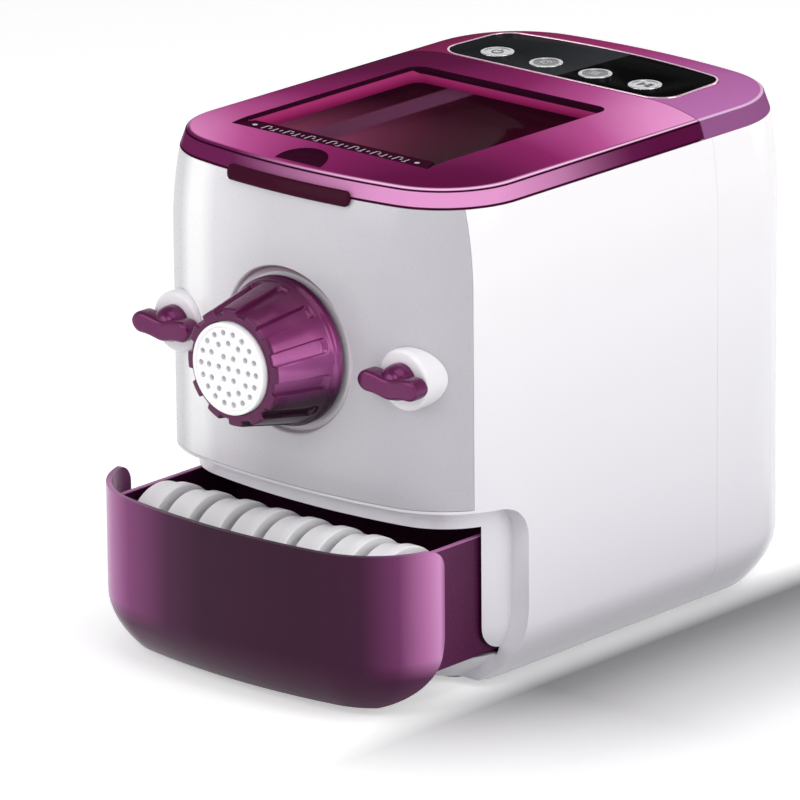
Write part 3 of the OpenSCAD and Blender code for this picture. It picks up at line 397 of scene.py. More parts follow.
def tone(color):
    """Three numbers are a colour as seen on screen. Anything else stays as it is."""
    return srgb(*color) if isinstance(color, tuple) and len(color) == 3 else color


M = {}  # materials by the name of their finish


class Finish:
    """A procedural finish on one Principled shader. Positions and distances are in metres."""

    def __init__(self, name, **settings):
        self.mat = M[name] = bpy.data.materials.new(name)
        self.mat.use_nodes = True
        self.tree = self.mat.node_tree
        self.shader = self.tree.nodes["Principled BSDF"]
        self.point = self.tree.nodes.new("ShaderNodeTexCoord").outputs["Object"]
        for key, value in settings.items():
            self.feed(key.replace("_", " "), value)

    def put(self, socket, value):
        """Links the value to the socket, or sets it there."""
        if hasattr(value, "links"):
            self.tree.links.new(value, socket)
        else:
            socket.default_value = value

    def feed(self, name, value):
        self.put(self.shader.inputs[name], value)

    def node(self, kind, inputs, **settings):
        """A new node with its settings and inputs."""
        node = self.tree.nodes.new("ShaderNode" + kind)
        for key, value in settings.items():
            setattr(node, key, value)
        for key, value in inputs.items():
            self.put(node.inputs[key], value)
        return node

    def noise(self, scale, detail=2.0, stretch=(1, 1, 1)):
        place = self.node("Mapping", {"Scale": stretch, "Vector": self.point}).outputs["Vector"]
        inputs = {"Scale": scale, "Detail": detail, "Roughness": 0.55, "Vector": place}
        return self.node("TexNoise", inputs).outputs["Fac"]

    def clouds(self, scale, amount=1.0):
        """Soft noise from 0 to amount, a little crisper where it is fine."""
        spread = 0.15 if scale > 1000 else 0.2
        return self.remap(self.noise(scale), 0.5 - spread, 0.5 + spread, 0.0, amount)

    def axis(self, name):
        return self.node("SeparateXYZ", {0: self.point}).outputs[name]

    def remap(self, value, low, high, out_low=0.0, out_high=1.0):
        inputs = {"Value": value, "From Min": low, "From Max": high, "To Min": out_low, "To Max": out_high}
        return self.node("MapRange", inputs).outputs["Result"]

    def span(self, axis, low, high, out_low=0.0, out_high=1.0):
        """Runs from out_low to out_high between two places on an axis."""
        return self.remap(self.axis(axis), low, high, out_low, out_high)

    def ramp(self, factor, *stops):
        """Colours at (place, red, green, blue) stops, blended in between."""
        node = self.node("ValToRGB", {"Fac": factor})
        points = node.color_ramp.elements
        first, *middle, last = [(place, srgb(*color)) for place, *color in stops]
        points[0].position, points[0].color = first
        points[1].position, points[1].color = last
        for place, color in middle:
            points.new(place).color = color
        return node.outputs["Color"]

    def mix(self, factor, a, b):
        node = self.node("Mix", {"Factor": factor, "A": tone(a), "B": tone(b)}, data_type="RGBA")
        return node.outputs["Result"]

    def over(self, base, *layers):
        """Lays (mask, colour) layers over a colour."""
        for mask, color in layers:
            base = self.mix(mask, base, color)
        return base

    def math(self, operation, a, b=0.0):
        return self.node("Math", {0: a, 1: b}, operation=operation).outputs[0]

    def times(self, a, b):
        return self.math("MULTIPLY", a, b)

    def distance(self, point, axes):
        """Distance from a point, measured along the axes marked 1."""
        flat = self.node("VectorMath", {0: self.point, 1: axes}, operation="MULTIPLY").outputs[0]
        return self.node("VectorMath", {0: flat, 1: point}, operation="DISTANCE").outputs["Value"]

    def glow(self, x, y, near, far):
        """1 within near of the vertical line through (x, y), falling to 0 at far."""
        return self.remap(self.distance((x, y, 0), (1, 1, 0)), far, near)

    def band(self, value, low, high, soft):
        """1 between low and high, falling to 0 over soft on both sides."""
        return self.times(self.remap(value, low - soft, low), self.remap(value, high + soft, high))

    def surface(self, color, rough, bump):
        """The material with its colour, roughness (low, high, scale) and bump (scale, depth, strength)."""
        low, high, scale = rough
        grain, depth, strength, *noise = bump
        self.feed("Base Color", color)
        self.feed("Roughness", self.remap(self.noise(scale, 4), 0.3, 0.7, low, high))
        inputs = {"Strength": strength, "Distance": depth, "Height": self.noise(grain, *noise)}
        self.feed("Normal", self.node("Bump", inputs).outputs["Normal"])
        return self.mat

    def cloudy(self, base, clouds, rough, bump):
        """The material with faint clouds (scale, amount, colour) over its base colour."""
        scale, amount, color = clouds
        return self.surface(self.mix(self.clouds(scale, amount), base, color), rough, bump)

    def varied(self, base, amount, scale, rough, bump):
        """The material with a base colour that gets a little darker and lighter."""
        low, high = (tuple(min(1, c * f) for c in srgb(*base)[:3]) + (1,) for f in (1 - amount, 1 + amount))
        return self.surface(self.mix(self.clouds(scale), low, high), rough, bump)


FINE, COARSE = 0.000004, 0.00003  # depths of a plastic's grain
EVEN, DRAWN = (1, 1, 1), (1, 14, 1)  # how a metal's grain is stretched


def plastic(name, base, low, high, coat=0.0, depth=FINE, amount=0.03, specular=0.5):
    f = Finish(name, Coat_Weight=coat, Coat_Roughness=0.06, Specular_IOR_Level=specular)
    return f.varied(base, amount, 25, (low, high, 900), (1500, depth, 0.2))


def metal(name, base, low, high, grain=700.0, stretch=EVEN, metallic=1.0):
    f = Finish(name, Metallic=metallic)
    return f.varied(base, 0.06, 90, (low, high, 700), (grain, 0.00001, 0.3, 3, stretch))


PLASTICS = [
    ("inner_grey", (168, 166, 174), 0.4, 0.5),
    ("inner_white", (214, 212, 218), 0.35, 0.45),
    ("grip_dark", (60, 15, 36), 0.14, 0.2, 0.02, FINE, 0.03, 0.02),
    ("lid_dark", (56, 16, 38), 0.16, 0.22, 0.0, FINE, 0.03, 0.0),
    ("seal_rubber", (120, 116, 122), 0.5, 0.62, 0.0, COARSE),
    ("button_dark", (26, 25, 28), 0.12, 0.2, 0.3),
    ("die_white", (252, 251, 253), 0.28, 0.36, 0.15, FINE, 0.005),
    ("foot_rubber", (222, 221, 226), 0.45, 0.55, 0.0, COARSE),
    ("gear_nylon", (226, 216, 186), 0.35, 0.45),
    ("board_green", (24, 92, 54), 0.3, 0.42, 0.3, FINE, 0.15),
    ("black_plastic", (26, 25, 28), 0.35, 0.48, 0.0, COARSE),
    ("mark_dark", (70, 70, 74), 0.3, 0.4),
]
METALS = [
    ("trim_rose", (240, 205, 222), 0.16, 0.22),
    ("button_silver", (222, 222, 226), 0.2, 0.3),
    ("bright_steel", (196, 196, 200), 0.18, 0.3, 400, DRAWN),
    ("cast_alloy", (150, 150, 156), 0.35, 0.5, 260, EVEN, 0.85),
    ("motor_paint", (92, 94, 100), 0.35, 0.5, 300, EVEN, 0.6),
    ("mark_silver", (214, 208, 214), 0.25, 0.35),
]


def shell_material():
    """Gloss white of the body and the washers, with painted light making it a touch warmer and brighter
    towards the top.
    """
    f = Finish("white_gloss", Coat_Weight=0.25, Coat_Roughness=0.06)
    # Painted light: the height ramp brightens the white towards the top and darkens it low down.
    height = f.ramp(f.span("Z", 0.0, 0.27), (0.0, 230, 228, 234), (0.5, 235, 233, 238), (0.85, 244, 241, 244),
                    (1.0, 247, 244, 247))
    return f.cloudy(height, (25, 0.06, (230, 228, 234)), (0.18, 0.22, 900), (1500, 0.000003, 0.08))


def panel_material():
    """Pearl grey of the front panel, with a painted highlight streak on its left bend, painted shade towards
    its right, and painted light and shade on the edge of the recess.
    """
    f = Finish("panel_pearl", Coat_Weight=0.15, Coat_Roughness=0.08)
    # Painted highlight: the pale streak on the left bend. Painted shade: the grey darkens towards the right.
    base = f.ramp(f.span("X", -0.116, 0.116), (0.0, 200, 199, 202), (0.14, 214, 213, 216),
                  (0.18, 255, 255, 255), (0.22, 255, 255, 255), (0.27, 230, 228, 232),
                  (0.45, 208, 206, 211), (0.8, 192, 190, 196), (0.95, 184, 182, 188))
    # Painted light and shade on the edge of the recess: pale low down, dark violet at its top.
    rim = f.ramp(f.span("Z", 0.135, 0.226), (0.0, 206, 196, 206), (0.45, 240, 236, 240), (0.8, 226, 220, 228),
                 (0.93, 160, 136, 152), (1.0, 126, 100, 118))
    away = f.distance((0, 0, SHAFT_Z * MM), (1, 0, 1))
    base = f.mix(f.band(away, 0.0425, 0.0462, 0.0006), base, rim)
    return f.cloudy(base, (25, 0.06, (215, 213, 219)), (0.27, 0.29, 900), (900, 0.000002, 0.03))


def lid_material():
    """Tinted plastic of the lid, with a painted reflection that swings the crown's colour from corner to
    corner, and painted highlights and shade on its skirt and crease.
    """
    f = Finish("lid_plum", Coat_Weight=0.015, Coat_Roughness=0.05, Specular_IOR_Level=0.0)
    # Painted reflection: the crown's colour swings with x times y, deep at two corners and pink at the other
    # two.
    painted_reflection = f.remap(f.times(f.span("X", -0.116, 0.116, -1.0), f.span("Y", -0.13, 0.084, -1.0)), -1.0, 1.0)
    painted_reflection = f.math("ADD", painted_reflection, f.remap(f.noise(9), 0.3, 0.7, -0.02, 0.02))
    crown = f.ramp(painted_reflection, (0.0, 76, 14, 50), (0.3, 98, 24, 68), (0.5, 140, 40, 100), (0.66, 188, 84, 148),
                   (0.82, 230, 144, 200), (1.0, 240, 166, 214))
    height = f.axis("Z")
    lit = f.times(f.span("X", -0.03, 0.07), f.band(height, 0.2800, 0.2803, 0.0002))
    # Skirt: painted highlights near its right front and left corners, painted shade at its rear right,
    # painted shade lines at its lower edge and under the crease, and a painted highlight on the crease.
    color = f.over(f.mix(f.noise(12), (100, 32, 78), (112, 40, 86)),
                   (f.glow(0.085, -0.1, 0.03, 0.13), (220, 148, 198)),
                   (f.glow(0.112, 0.07, 0.02, 0.1), (84, 18, 60)),
                   (f.band(f.axis("X"), -0.104, -0.1, 0.008), (176, 134, 176)),
                   (f.band(height, 0.2690, 0.2712, 0.0003), (58, 8, 38)),
                   (f.band(height, 0.2790, 0.2796, 0.0003), (48, 6, 32)),
                   (lit, (240, 196, 226)),
                   (f.remap(height, 0.2804, 0.2808), crown))
    return f.surface(color, (0.1, 0.14, 700), (1500, 0.000003, 0.2))


def cap_material():
    """Metallic violet of the cap behind the lid, with painted shade darkening it towards the left and a
    painted highlight along its crease.
    """
    f = Finish("cap_violet", Specular_IOR_Level=0.0)
    # Painted shade: crown and skirt darken towards the left. The bright band at the crease is a painted
    # highlight.
    across = f.span("X", -0.1, 0.11)
    crown = f.ramp(across, (0.0, 124, 22, 70), (0.4, 158, 44, 104), (0.62, 176, 76, 144),
                   (0.8, 182, 104, 166), (1.0, 186, 112, 174))
    skirt = f.ramp(across, (0.0, 108, 20, 64), (0.5, 120, 40, 90), (0.9, 140, 80, 130))
    base = f.over(crown, (f.span("Z", 0.2806, 0.2796), skirt),
                  (f.band(f.axis("Z"), 0.2799, 0.2804, 0.0002), (226, 184, 220)))
    return f.cloudy(base, (2200, 0.06, (220, 190, 220)), (0.26, 0.32, 900), (2500, 0.000004, 0.3))


def drawer_material():
    """Drawer front: deep plum in the middle, with painted highlights making it pink near its ends and painted
    shade darkening it where it tucks under.
    """
    f = Finish("drawer_plum", Coat_Weight=0.08, Coat_Roughness=0.07, Specular_IOR_Level=0.08)
    # Painted highlights near both ends; painted shade where the front tucks under.
    left = f.ramp(f.span("X", -0.116, -0.01), (0.0, 110, 54, 96), (0.2, 190, 120, 176), (0.45, 128, 64, 114),
                  (0.75, 72, 30, 62), (1.0, 52, 18, 42))
    right = f.ramp(f.span("Y", -0.182, -0.132), (0.0, 52, 18, 42), (0.2, 60, 22, 50), (0.48, 112, 52, 98),
                   (0.78, 190, 118, 172), (0.93, 214, 150, 202), (1.0, 150, 84, 134))
    base = f.over(left, (f.span("X", -0.004, 0.004), right),
                  (f.span("Z", 0.034, 0.024, 0.0, 0.85), (62, 26, 52)))
    return f.cloudy(base, (20, 0.05, (100, 40, 84)), (0.18, 0.24, 700), (1500, 0.000003, 0.2))


def tray_material():
    """Drawer tray: plum sides with painted shade darkening them towards the rear, deeper plum inside, and a
    painted pink highlight along the top rim.
    """
    f = Finish("tray_plum", Coat_Weight=0.06, Coat_Roughness=0.08, Specular_IOR_Level=0.06)
    # Painted shade towards the rear of the sides; the pink band at the top rim is a painted highlight.
    side = f.ramp(f.span("Y", -0.17, -0.08), (0.0, 120, 60, 104), (1.0, 74, 24, 60))
    side = f.mix(f.clouds(20, 0.1), side, (90, 40, 75))
    outside = f.remap(f.math("ABSOLUTE", f.axis("X")), 0.0970, 0.0974)
    color = f.over((58, 20, 48), (outside, side),
                   (f.band(f.axis("Z"), 0.0856, 0.09, 0.0003), (190, 122, 172)))
    return f.surface(color, (0.25, 0.32, 700), (1500, 0.000004, 0.2))


def knob_material():
    """Plum of the wing knobs, with a fine metallic shimmer."""
    f = Finish("knob_plum", Metallic=0.45, Coat_Weight=0.15, Coat_Roughness=0.08, Specular_IOR_Level=0.3)
    return f.cloudy((98, 26, 78), (2000, 0.1, (140, 60, 118)), (0.2, 0.27, 900), (1500, 0.000004, 0.3))


def nut_material():
    """Plum of the nut with painted light: painted shade deep below, a painted lilac highlight across its
    middle, darker magenta above, and painted shade on its front rim.
    """
    f = Finish("nut_plum", Metallic=0.35, Coat_Weight=0.15, Coat_Roughness=0.06, Specular_IOR_Level=0.2)
    # Painted light by height: shade below, a highlight across the middle, darker above. The front rim gets
    # painted shade.
    base = f.ramp(f.span("Z", 0.135, 0.225), (0.0, 24, 4, 18), (0.3, 34, 8, 26), (0.42, 120, 50, 104),
                  (0.54, 164, 88, 146), (0.66, 138, 56, 114), (0.82, 100, 28, 76), (1.0, 62, 16, 48))
    base = f.mix(f.span("Y", -0.1692, -0.1698), base, (84, 28, 68))
    return f.cloudy(base, (2000, 0.08, (170, 96, 150)), (0.18, 0.24, 900), (1500, 0.000003, 0.2))


def glass_material():
    """Black control glass, a little lighter left of a slanting line, as when it mirrors a room."""
    f = Finish("black_glass", Coat_Weight=0.02, Coat_Roughness=0.03, Specular_IOR_Level=0.0)
    slant = f.math("ADD", f.axis("X"), f.times(f.axis("Y"), -0.05))
    sheen = f.ramp(f.remap(slant, -0.1, 0.0), (0.0, 30, 31, 32), (0.5, 33, 34, 36), (0.985, 52, 54, 58),
                   (1.0, 7, 6, 7))
    return f.cloudy(sheen, (30, 0.03, (60, 60, 62)), (0.03, 0.06, 700), (900, 0.000002, 0.1))


def window_material():
    """Clear plum plastic of the window pan, pinker and less clear in its upright walls, with a painted shade
    line along their top edge, wider at the rear. A paler, duller band runs front to back across the pan, and
    its front left is pinker and less clear.
    """
    f = Finish("window_clear", IOR=1.01, Coat_Weight=0.015, Coat_Roughness=0.03)
    height = f.axis("Z")
    wall = f.remap(height, 0.2772, 0.2776)
    near = f.times(f.span("Y", -0.08, 0.02, 1.0, 0.0), f.span("X", -0.02, 0.05, 1.0, 0.0))
    # A paler, duller band across the pan, running front to back.
    pale_band = f.band(f.axis("X"), -0.045, -0.028, 0.002)
    # Painted shade line along the top edge of the upright walls, wider at the rear.
    raised = f.math("ADD", height, f.span("Y", 0.05, 0.053, 0.0, 0.0018))
    side = f.mix(f.remap(height, 0.2776, 0.283), (140, 26, 84), (190, 60, 126))
    side = f.mix(f.remap(raised, 0.2841, 0.2844), side, (46, 10, 32))
    color = f.over(f.mix(f.clouds(20, 0.15), (118, 42, 76), (130, 50, 86)),
                   (near, (178, 92, 130)), (pale_band, (134, 76, 112)), (wall, side))
    dull = f.math("MAXIMUM", wall, f.math("MAXIMUM", f.times(near, 0.45), f.times(pale_band, 0.4)))
    f.feed("Transmission Weight", f.remap(dull, 0.0, 1.0, 0.9, 0.1))
    return f.surface(color, (0.02, 0.05, 700), (300, 0.000003, 0.15))


for row in PLASTICS:
    plastic(*row)
for row in METALS:
    metal(*row)
for make in (shell_material, panel_material, lid_material, cap_material, drawer_material, tray_material,
             knob_material, nut_material, glass_material, window_material):
    make()

CAD_FINISH = {
    "inner_grey": ["top_deck", "front_bulkhead", "base_plate", "lid_switch"],
    "inner_white": ["die_rack"],
    "bright_steel": ["hinge_pins", "studs", "output_shaft", "shaft_bearings", "idler_pin", "motor_shaft",
                     "base_screws", "gearbox_screws", "drawer_runners", "mixing_screw"],
    "cast_alloy": ["extrusion_barrel", "gearbox_case", "gearbox_cover"],
    "seal_rubber": ["shaft_seal", "lid_seal"],
    "gear_nylon": ["output_gear", "idler_gear"],
    "motor_paint": ["motor"],
    "board_green": ["control_board", "power_board"],
    "black_plastic": ["power_inlet", "cooling_fan"],
    "button_silver": ["motor_pinion"],
    "die_white": ["mixing_bowl"],
}
for finish, names in CAD_FINISH.items():
    for node_name in names:
        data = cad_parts[node_name].data
        data.materials.clear()
        data.materials.append(M[finish])


def paint(ob, finish, other, test):
    """Gives a piece two finishes: the faces that pass the test get the other one."""
    me = ob.data
    me.materials.clear()
    me.materials.append(M[finish])
    me.materials.append(M[other])
    me.polygons.foreach_set("material_index", [int(test(p.center / MM, p.normal)) for p in me.polygons])


def dress(ob, finish, body, *nodes, slot=None):
    """Gives a piece its finish, unless it is painted, and its body, and hides the parts of the nodes it
    stands for.
    """
    me = ob.data
    if not any(me.materials):
        me.materials.clear()
        me.materials.append(M[finish])
        me.polygons.foreach_set("material_index", [0] * len(me.polygons))
    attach(ob, body)
    if nodes:
        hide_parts(*nodes)


# ---------------------------------------------------------------- shells of the body
RECESS_R, RECESS_Y, BARREL_HOLE_R, STUD_HOLE_R = 45.0, -FRONT + 4.5, 31, 4.5
SOCKET_X, SOCKET_Z, SOCKET_HALF_W, SOCKET_HALF_H = 34, 45, 15, 11
SLOT_X, SLOT_HALF_W, SLOT_H = 36, 26, 3
SHELL_TOP, COVE_TOP = 274, 130


def cove_outline(g):
    """Side view of the space before the cove, drawn in by g."""
    points = [(-300, -40), (-300, COVE_Z - g)]
    for z, r, start, turn in ((COVE_Z - COVE_R, COVE_R, 90, -90), (COVE_LOW_Z, COVE_LOW_R, 0, -70)):
        for k in range(25):
            q = math.radians(start + turn * k / 24)
            points.append((COVE_Y - r + (r - g) * math.cos(q), z + (r - g) * math.sin(q)))
    return points + [(points[-1][0], -40)]


def body_shell(name, z0=FOOT_H):
    """The hollow body from z0 up to its rim."""
    return cut(loft(body_profile(z0, RIM_Z, 0), name), loft(body_profile(z0 - 2, RIM_Z + 2, WALL)))


def make_housing():
    shell = body_shell("housing_shell")
    cove = cut(loft(body_profile(FOOT_H, PANEL_Z + 4, 0)),
               loft(body_profile(FOOT_H - 2, PANEL_Z + 6, COVE_D + WALL)))
    join(shell, meet(cove, prism(cove_outline(-WALL), WIDE)))
    hollow = cut(prism(cove_outline(0), WIDE), loft(body_profile(FOOT_H - 4, PANEL_Z + 40, COVE_D)))
    above = cut(block((-SIDE, -BACK, PANEL_Z - SEAM), (SIDE, PANEL_SEAM_Y, HIGH)),
                loft(body_profile(PANEL_Z - 30, RIM_Z + 4, WALL + 0.4)))
    cut(shell, hollow, block((-MOUTH_W / 2, -SIDE, MOUTH_Z), (MOUTH_W / 2, COVE_Y + 6, MOUTH_TOP)), above,
        block((-SIDE, REAR_SEAM_Y, -10), (SIDE, BACK, HIGH)))
    follow_skins(shell, skins(SHELL_TOP, 0, WALL) + skins(COVE_TOP, COVE_D, COVE_D + WALL))
    dress(shell, "white_gloss", "base", "housing")


def slots_cutter():
    """Nine vent slots on either side of the rear's middle."""
    outlines = [round_rect(side * SLOT_X - SLOT_HALF_W, z, side * SLOT_X + SLOT_HALF_W, z + SLOT_H, 1.45, 4)
                for side in (-1, 1) for z in range(120, 177, 7)]
    return solids("cutter", [[[(x, y, z) for x, z in outline] for y in (150, 220)] for outline in outlines])


def make_rear():
    shell = body_shell("rear_shell_skin")
    cut(shell, block((-SIDE, -BACK, -10), (SIDE, REAR_SEAM_Y + SEAM / 2, HIGH)), slots_cutter(),
        block((SOCKET_X - SOCKET_HALF_W, 150, SOCKET_Z - SOCKET_HALF_H),
              (SOCKET_X + SOCKET_HALF_W, 220, SOCKET_Z + SOCKET_HALF_H)))
    follow_skins(shell, skins(SHELL_TOP, 0, WALL))
    dress(shell, "white_gloss", "base", "rear_shell")


def front_skin_y(x):
    return FRONT_CY - math.sqrt(FRONT_R ** 2 - x * x)


def skin_cutter(x0, z0, r, fillet, floor_y, steps=160):
    """Round cutter through the bowed front face, with a rounded lip that follows the face."""
    rows = [(r + fillet, -12.0), (r + fillet, 0.0)]
    for k in range(1, 9):
        q = QUARTER * k / 8
        rows.append((r + fillet * (1 - math.sin(q)), fillet * (1 - math.cos(q))))
    columns = []
    for k in range(steps):
        ca, sa = math.cos(2 * math.pi * k / steps), math.sin(2 * math.pi * k / steps)
        columns.append([(x0 + rr * ca, front_skin_y(x0 + rr * ca) + d, z0 + rr * sa) for rr, d in rows]
                       + [(x0 + r * ca, floor_y, z0 + r * sa)])
    return turned("cutter", columns, capped=True)


def make_panel():
    panel = body_shell("front_panel_skin", PANEL_Z)
    boss = drum(RECESS_R + 3, 0, 12.5, 160, facing_front(0, RECESS_Y + WALL, SHAFT_Z))
    join(panel, meet(boss, loft(body_profile(PANEL_Z, RIM_Z - 2, 0))))
    cut(panel, block((-SIDE, PANEL_SEAM_Y - SEAM, 0), (SIDE, BACK, HIGH)),
        skin_cutter(0, SHAFT_Z, RECESS_R, 1.8, RECESS_Y),
        skin_cutter(0, SHAFT_Z, BARREL_HOLE_R, 0.3, RECESS_Y + 10),
        *[skin_cutter(x, KNOB_Z, STUD_HOLE_R, 0.3, -104) for x in (-KNOB_X, KNOB_X)])
    follow_skins(panel, skins(SHELL_TOP, 0, WALL))
    dress(panel, "panel_pearl", "base", "front_panel")


make_housing()
make_rear()
make_panel()

# ---------------------------------------------------------------- lid, window and cap
CROWN_STEP, CROWN_TOLERANCE = 3.0, 0.08
KNUCKLE_X, KNUCKLE_HALF_W, PIN_R = 64, 5, 1.66
WINDOW_R, WINDOW_FLOOR = 9.0, TOP_Z - WINDOW_D
NOTCH_Y, NOTCH_R, NOTCH_Z = 12 - FRONT, 17.0, TOP_Z - 5.5


def crown_hollow(drop=0.0):
    """The room under a crown, lower by drop."""
    return loft([(RIM_LEAN + 2.4, RIM_Z - 2), (RIM_LEAN + 5.4, RIM_Z + 9 - drop),
                 (RIM_LEAN + 11, RIM_Z + 11 - drop), (RIM_LEAN + 24, TOP_Z - 3.7 - drop),
                 (44, TOP_Z - 2.6 - drop)])


def hinge_bar(r, half_w):
    """A round bar about the hinge's axis."""
    return drum(r, 0, 2 * half_w, 96, facing_right(-half_w, HINGE_Y, HINGE_Z))


def window_slab(grow, z0, z1, name="cutter"):
    """The window's outline grown by grow: square corners in front, round ones behind."""
    x, y0, y1 = WINDOW_W / 2 + grow, WINDOW_FRONT - grow, WINDOW_REAR + grow
    rear = [p for p in round_rect(-x, y0, x, y1, WINDOW_R + grow, 12) if p[1] > 0]
    return slab([(-x, y0), (x, y0)] + rear, z0, z1, name)


def slope_room(grow, z0, z1):
    """Room over the sloped front wall of the window, grown by grow."""
    run = WINDOW_SLOPE / WINDOW_D
    y0 = WINDOW_FRONT - grow * math.hypot(1, run) - run * (z0 - WINDOW_FLOOR)
    rear = WINDOW_FRONT + 3
    return prism([(rear, z0), (y0, z0), (y0 - run * (z1 - z0), z1), (rear, z1)], WINDOW_W / 2 + grow)


def inside_window(c, n):
    """True on the walls of the window's well and on its sloped front."""
    return (abs(c.x) < WINDOW_W / 2 + 0.1 and WINDOW_FRONT - WINDOW_SLOPE - 1 < c.y < WINDOW_REAR + 0.1
            and c.z > WINDOW_FLOOR - 3 and (n.z < 0.9 or c.z < TOP_Z - 4))


def inside_notch(c, n):
    """True on the floor and the wall of the thumb notch."""
    return (math.hypot(c.x, c.y - NOTCH_Y) < NOTCH_R - 0.38 and c.y > NOTCH_Y - 0.05
            and (abs(n.z) < 0.85 or c.z < NOTCH_Z + 0.5) and TOP_Z - 6 < c.z < NOTCH_Z + 5)


def make_lid():
    crown, at_notch = crown_profile(RIM_Z + 0.3), upright(0, NOTCH_Y)
    lid = cut(loft(crown, "lid_frame_skin", CROWN_STEP), crown_hollow())
    join(lid, window_slab(2.5, WINDOW_FLOOR - 4, TOP_Z - 1))
    for x in (-KNUCKLE_X, KNUCKLE_X):
        join(lid, block((x - KNUCKLE_HALF_W, HINGE_Y - 4, HINGE_Z - 4),
                        (x + KNUCKLE_HALF_W, HINGE_Y + 3, TOP_Z - 1)))
    pad = join(slope_room(2.5, WINDOW_FLOOR - 4, TOP_Z),
               drum(NOTCH_R + 1.5, NOTCH_Z - 3.5, TOP_Z, 96, at_notch))
    join(lid, meet(pad, loft(crown, step=CROWN_STEP)))
    thumb = lathe(filleted([(0, NOTCH_Z), (NOTCH_R - 0.6, NOTCH_Z), (NOTCH_R, TOP_Z + 14), (0, TOP_Z + 14)],
                           [0, 2.0, 0, 0]), 128, at_notch)
    cut(thumb, block((-30, -SIDE, 0), (30, NOTCH_Y, HIGH)))
    room = cut(block((-150, HINGE_Y, RIM_Z - 5), (150, HINGE_Y + 10, HINGE_Z - 4.5)),
               hinge_bar(HINGE_Z - RIM_Z - 0.3, 160))
    cut(lid, slope_room(0, WINDOW_FLOOR, TOP_Z + 2), window_slab(-3, 0, HIGH),
        window_slab(0, WINDOW_FLOOR - 2.5, HIGH), block((-SIDE, LID_SEAM_Y, 0), (SIDE, HIGH, HIGH)),
        hinge_bar(PIN_R, 90), thumb, room)
    follow_skins(lid, [crown], CROWN_TOLERANCE)
    paint(lid, "lid_plum", "lid_dark", lambda c, n: inside_window(c, n) or inside_notch(c, n))
    dress(lid, "lid_plum", "lid", "lid_frame")


def make_window():
    inner, outer = 2.2, 0.2
    pan = window_slab(-outer, WINDOW_FLOOR - 2.5, TOP_Z - 1, "lid_window_pan")
    half = WINDOW_W / 2 - inner
    cut(pan, window_slab(-inner, WINDOW_FLOOR, TOP_Z + 5),
        block((-half, WINDOW_FRONT - 5, WINDOW_FLOOR), (half, 0, TOP_Z + 5)))
    dress(soften(pan, 0.3), "window_clear", "lid", "lid_window", slot="window_plum")


def make_window_strip():
    """Dark strip along the front of the window, with a row of plain silvery strokes and a dot at each end."""
    y0, y1 = WINDOW_FRONT - WINDOW_SLOPE + 0.2, WINDOW_FRONT + 0.1
    half, middle = WINDOW_W / 2 - 0.1, (y0 + y1) / 2
    outline = [(-half, y0), (half, y0), (half - 6, y1), (-half + 6, y1)]
    dress(plates("window_strip", [outline], TOP_Z - 2.2, TOP_Z - 1.1), "lid_dark", "lid")
    outlines = [circle(x, middle, 1.5, 20) for x in (-58, 58)]
    for k in range(27):
        x = (k - 13) * 3.9
        tall = (3.2, 1.3, 2.2, 1.3)[k % 4]
        outlines.append(box_outline(x - 0.4, middle - tall, x + 0.4, middle + tall))
        if k % 4 == 0:
            outlines.append(box_outline(x + 1.0, middle + 2.4, x + 2.9, middle + 3.2))
        if k % 4 == 2:
            outlines.append(box_outline(x - 1.4, middle - 3.2, x + 1.4, middle - 2.6))
    dress(plates("window_marks", outlines, TOP_Z - 1.2, TOP_Z - 1.0), "mark_silver", "lid")


GLASS_Z = TOP_Z - 2
GLASS_FRONT = LID_SEAM_Y + LID_GAP + 2.1
GLASS_HALF_W, GLASS_TAPER, GLASS_R, GLASS_MARGIN = 81.5, 5.5, 14.0, 39
BUTTONS = [(k - 1.5) * 35.4 for k in range(4)]
BUTTON_Y, BUTTON_R = 104.0, 9.4


def glass_outline(grow):
    """Outline of the glass: a trapezoid with a bowed rear edge and round corners."""
    bow = REAR_R - GLASS_MARGIN - GLASS_R
    slope = math.hypot(1, GLASS_TAPER / (REAR - GLASS_FRONT))

    def centre_x(y):
        """Where the middle of a corner of radius GLASS_R lies beside the tapered side."""
        return GLASS_HALF_W - GLASS_TAPER * (y - GLASS_FRONT) / (REAR - GLASS_FRONT) - GLASS_R * slope
    front_y = GLASS_FRONT + GLASS_R
    low, high = front_y, REAR
    for _ in range(50):
        middle = (low + high) / 2
        if math.hypot(centre_x(middle), middle - REAR_CY) < bow:
            low = middle
        else:
            high = middle
    front_x, rear_x, rear_y = centre_x(front_y), centre_x(low), low
    r = GLASS_R + grow
    points = []

    def corner(cx, cy, a0, a1):
        for k in range(13):
            q = a0 + (a1 - a0) * k / 12
            points.append((cx + r * math.cos(q), cy + r * math.sin(q)))
    side = math.atan2(GLASS_TAPER, REAR - GLASS_FRONT)
    rear = math.atan2(rear_y - REAR_CY, rear_x)
    corner(front_x, front_y, -QUARTER, side)
    corner(rear_x, rear_y, side, rear)
    for k in range(1, 32):
        q = rear + (math.pi - 2 * rear) * k / 32
        points.append(((bow + r) * math.cos(q), REAR_CY + (bow + r) * math.sin(q)))
    corner(-rear_x, rear_y, math.pi - rear, math.pi - side)
    corner(-front_x, front_y, math.pi - side, 3 * QUARTER)
    return points


def button_holes():
    return [drum(BUTTON_R + 0.3, 200, 400, 96, upright(x, BUTTON_Y)) for x in BUTTONS]


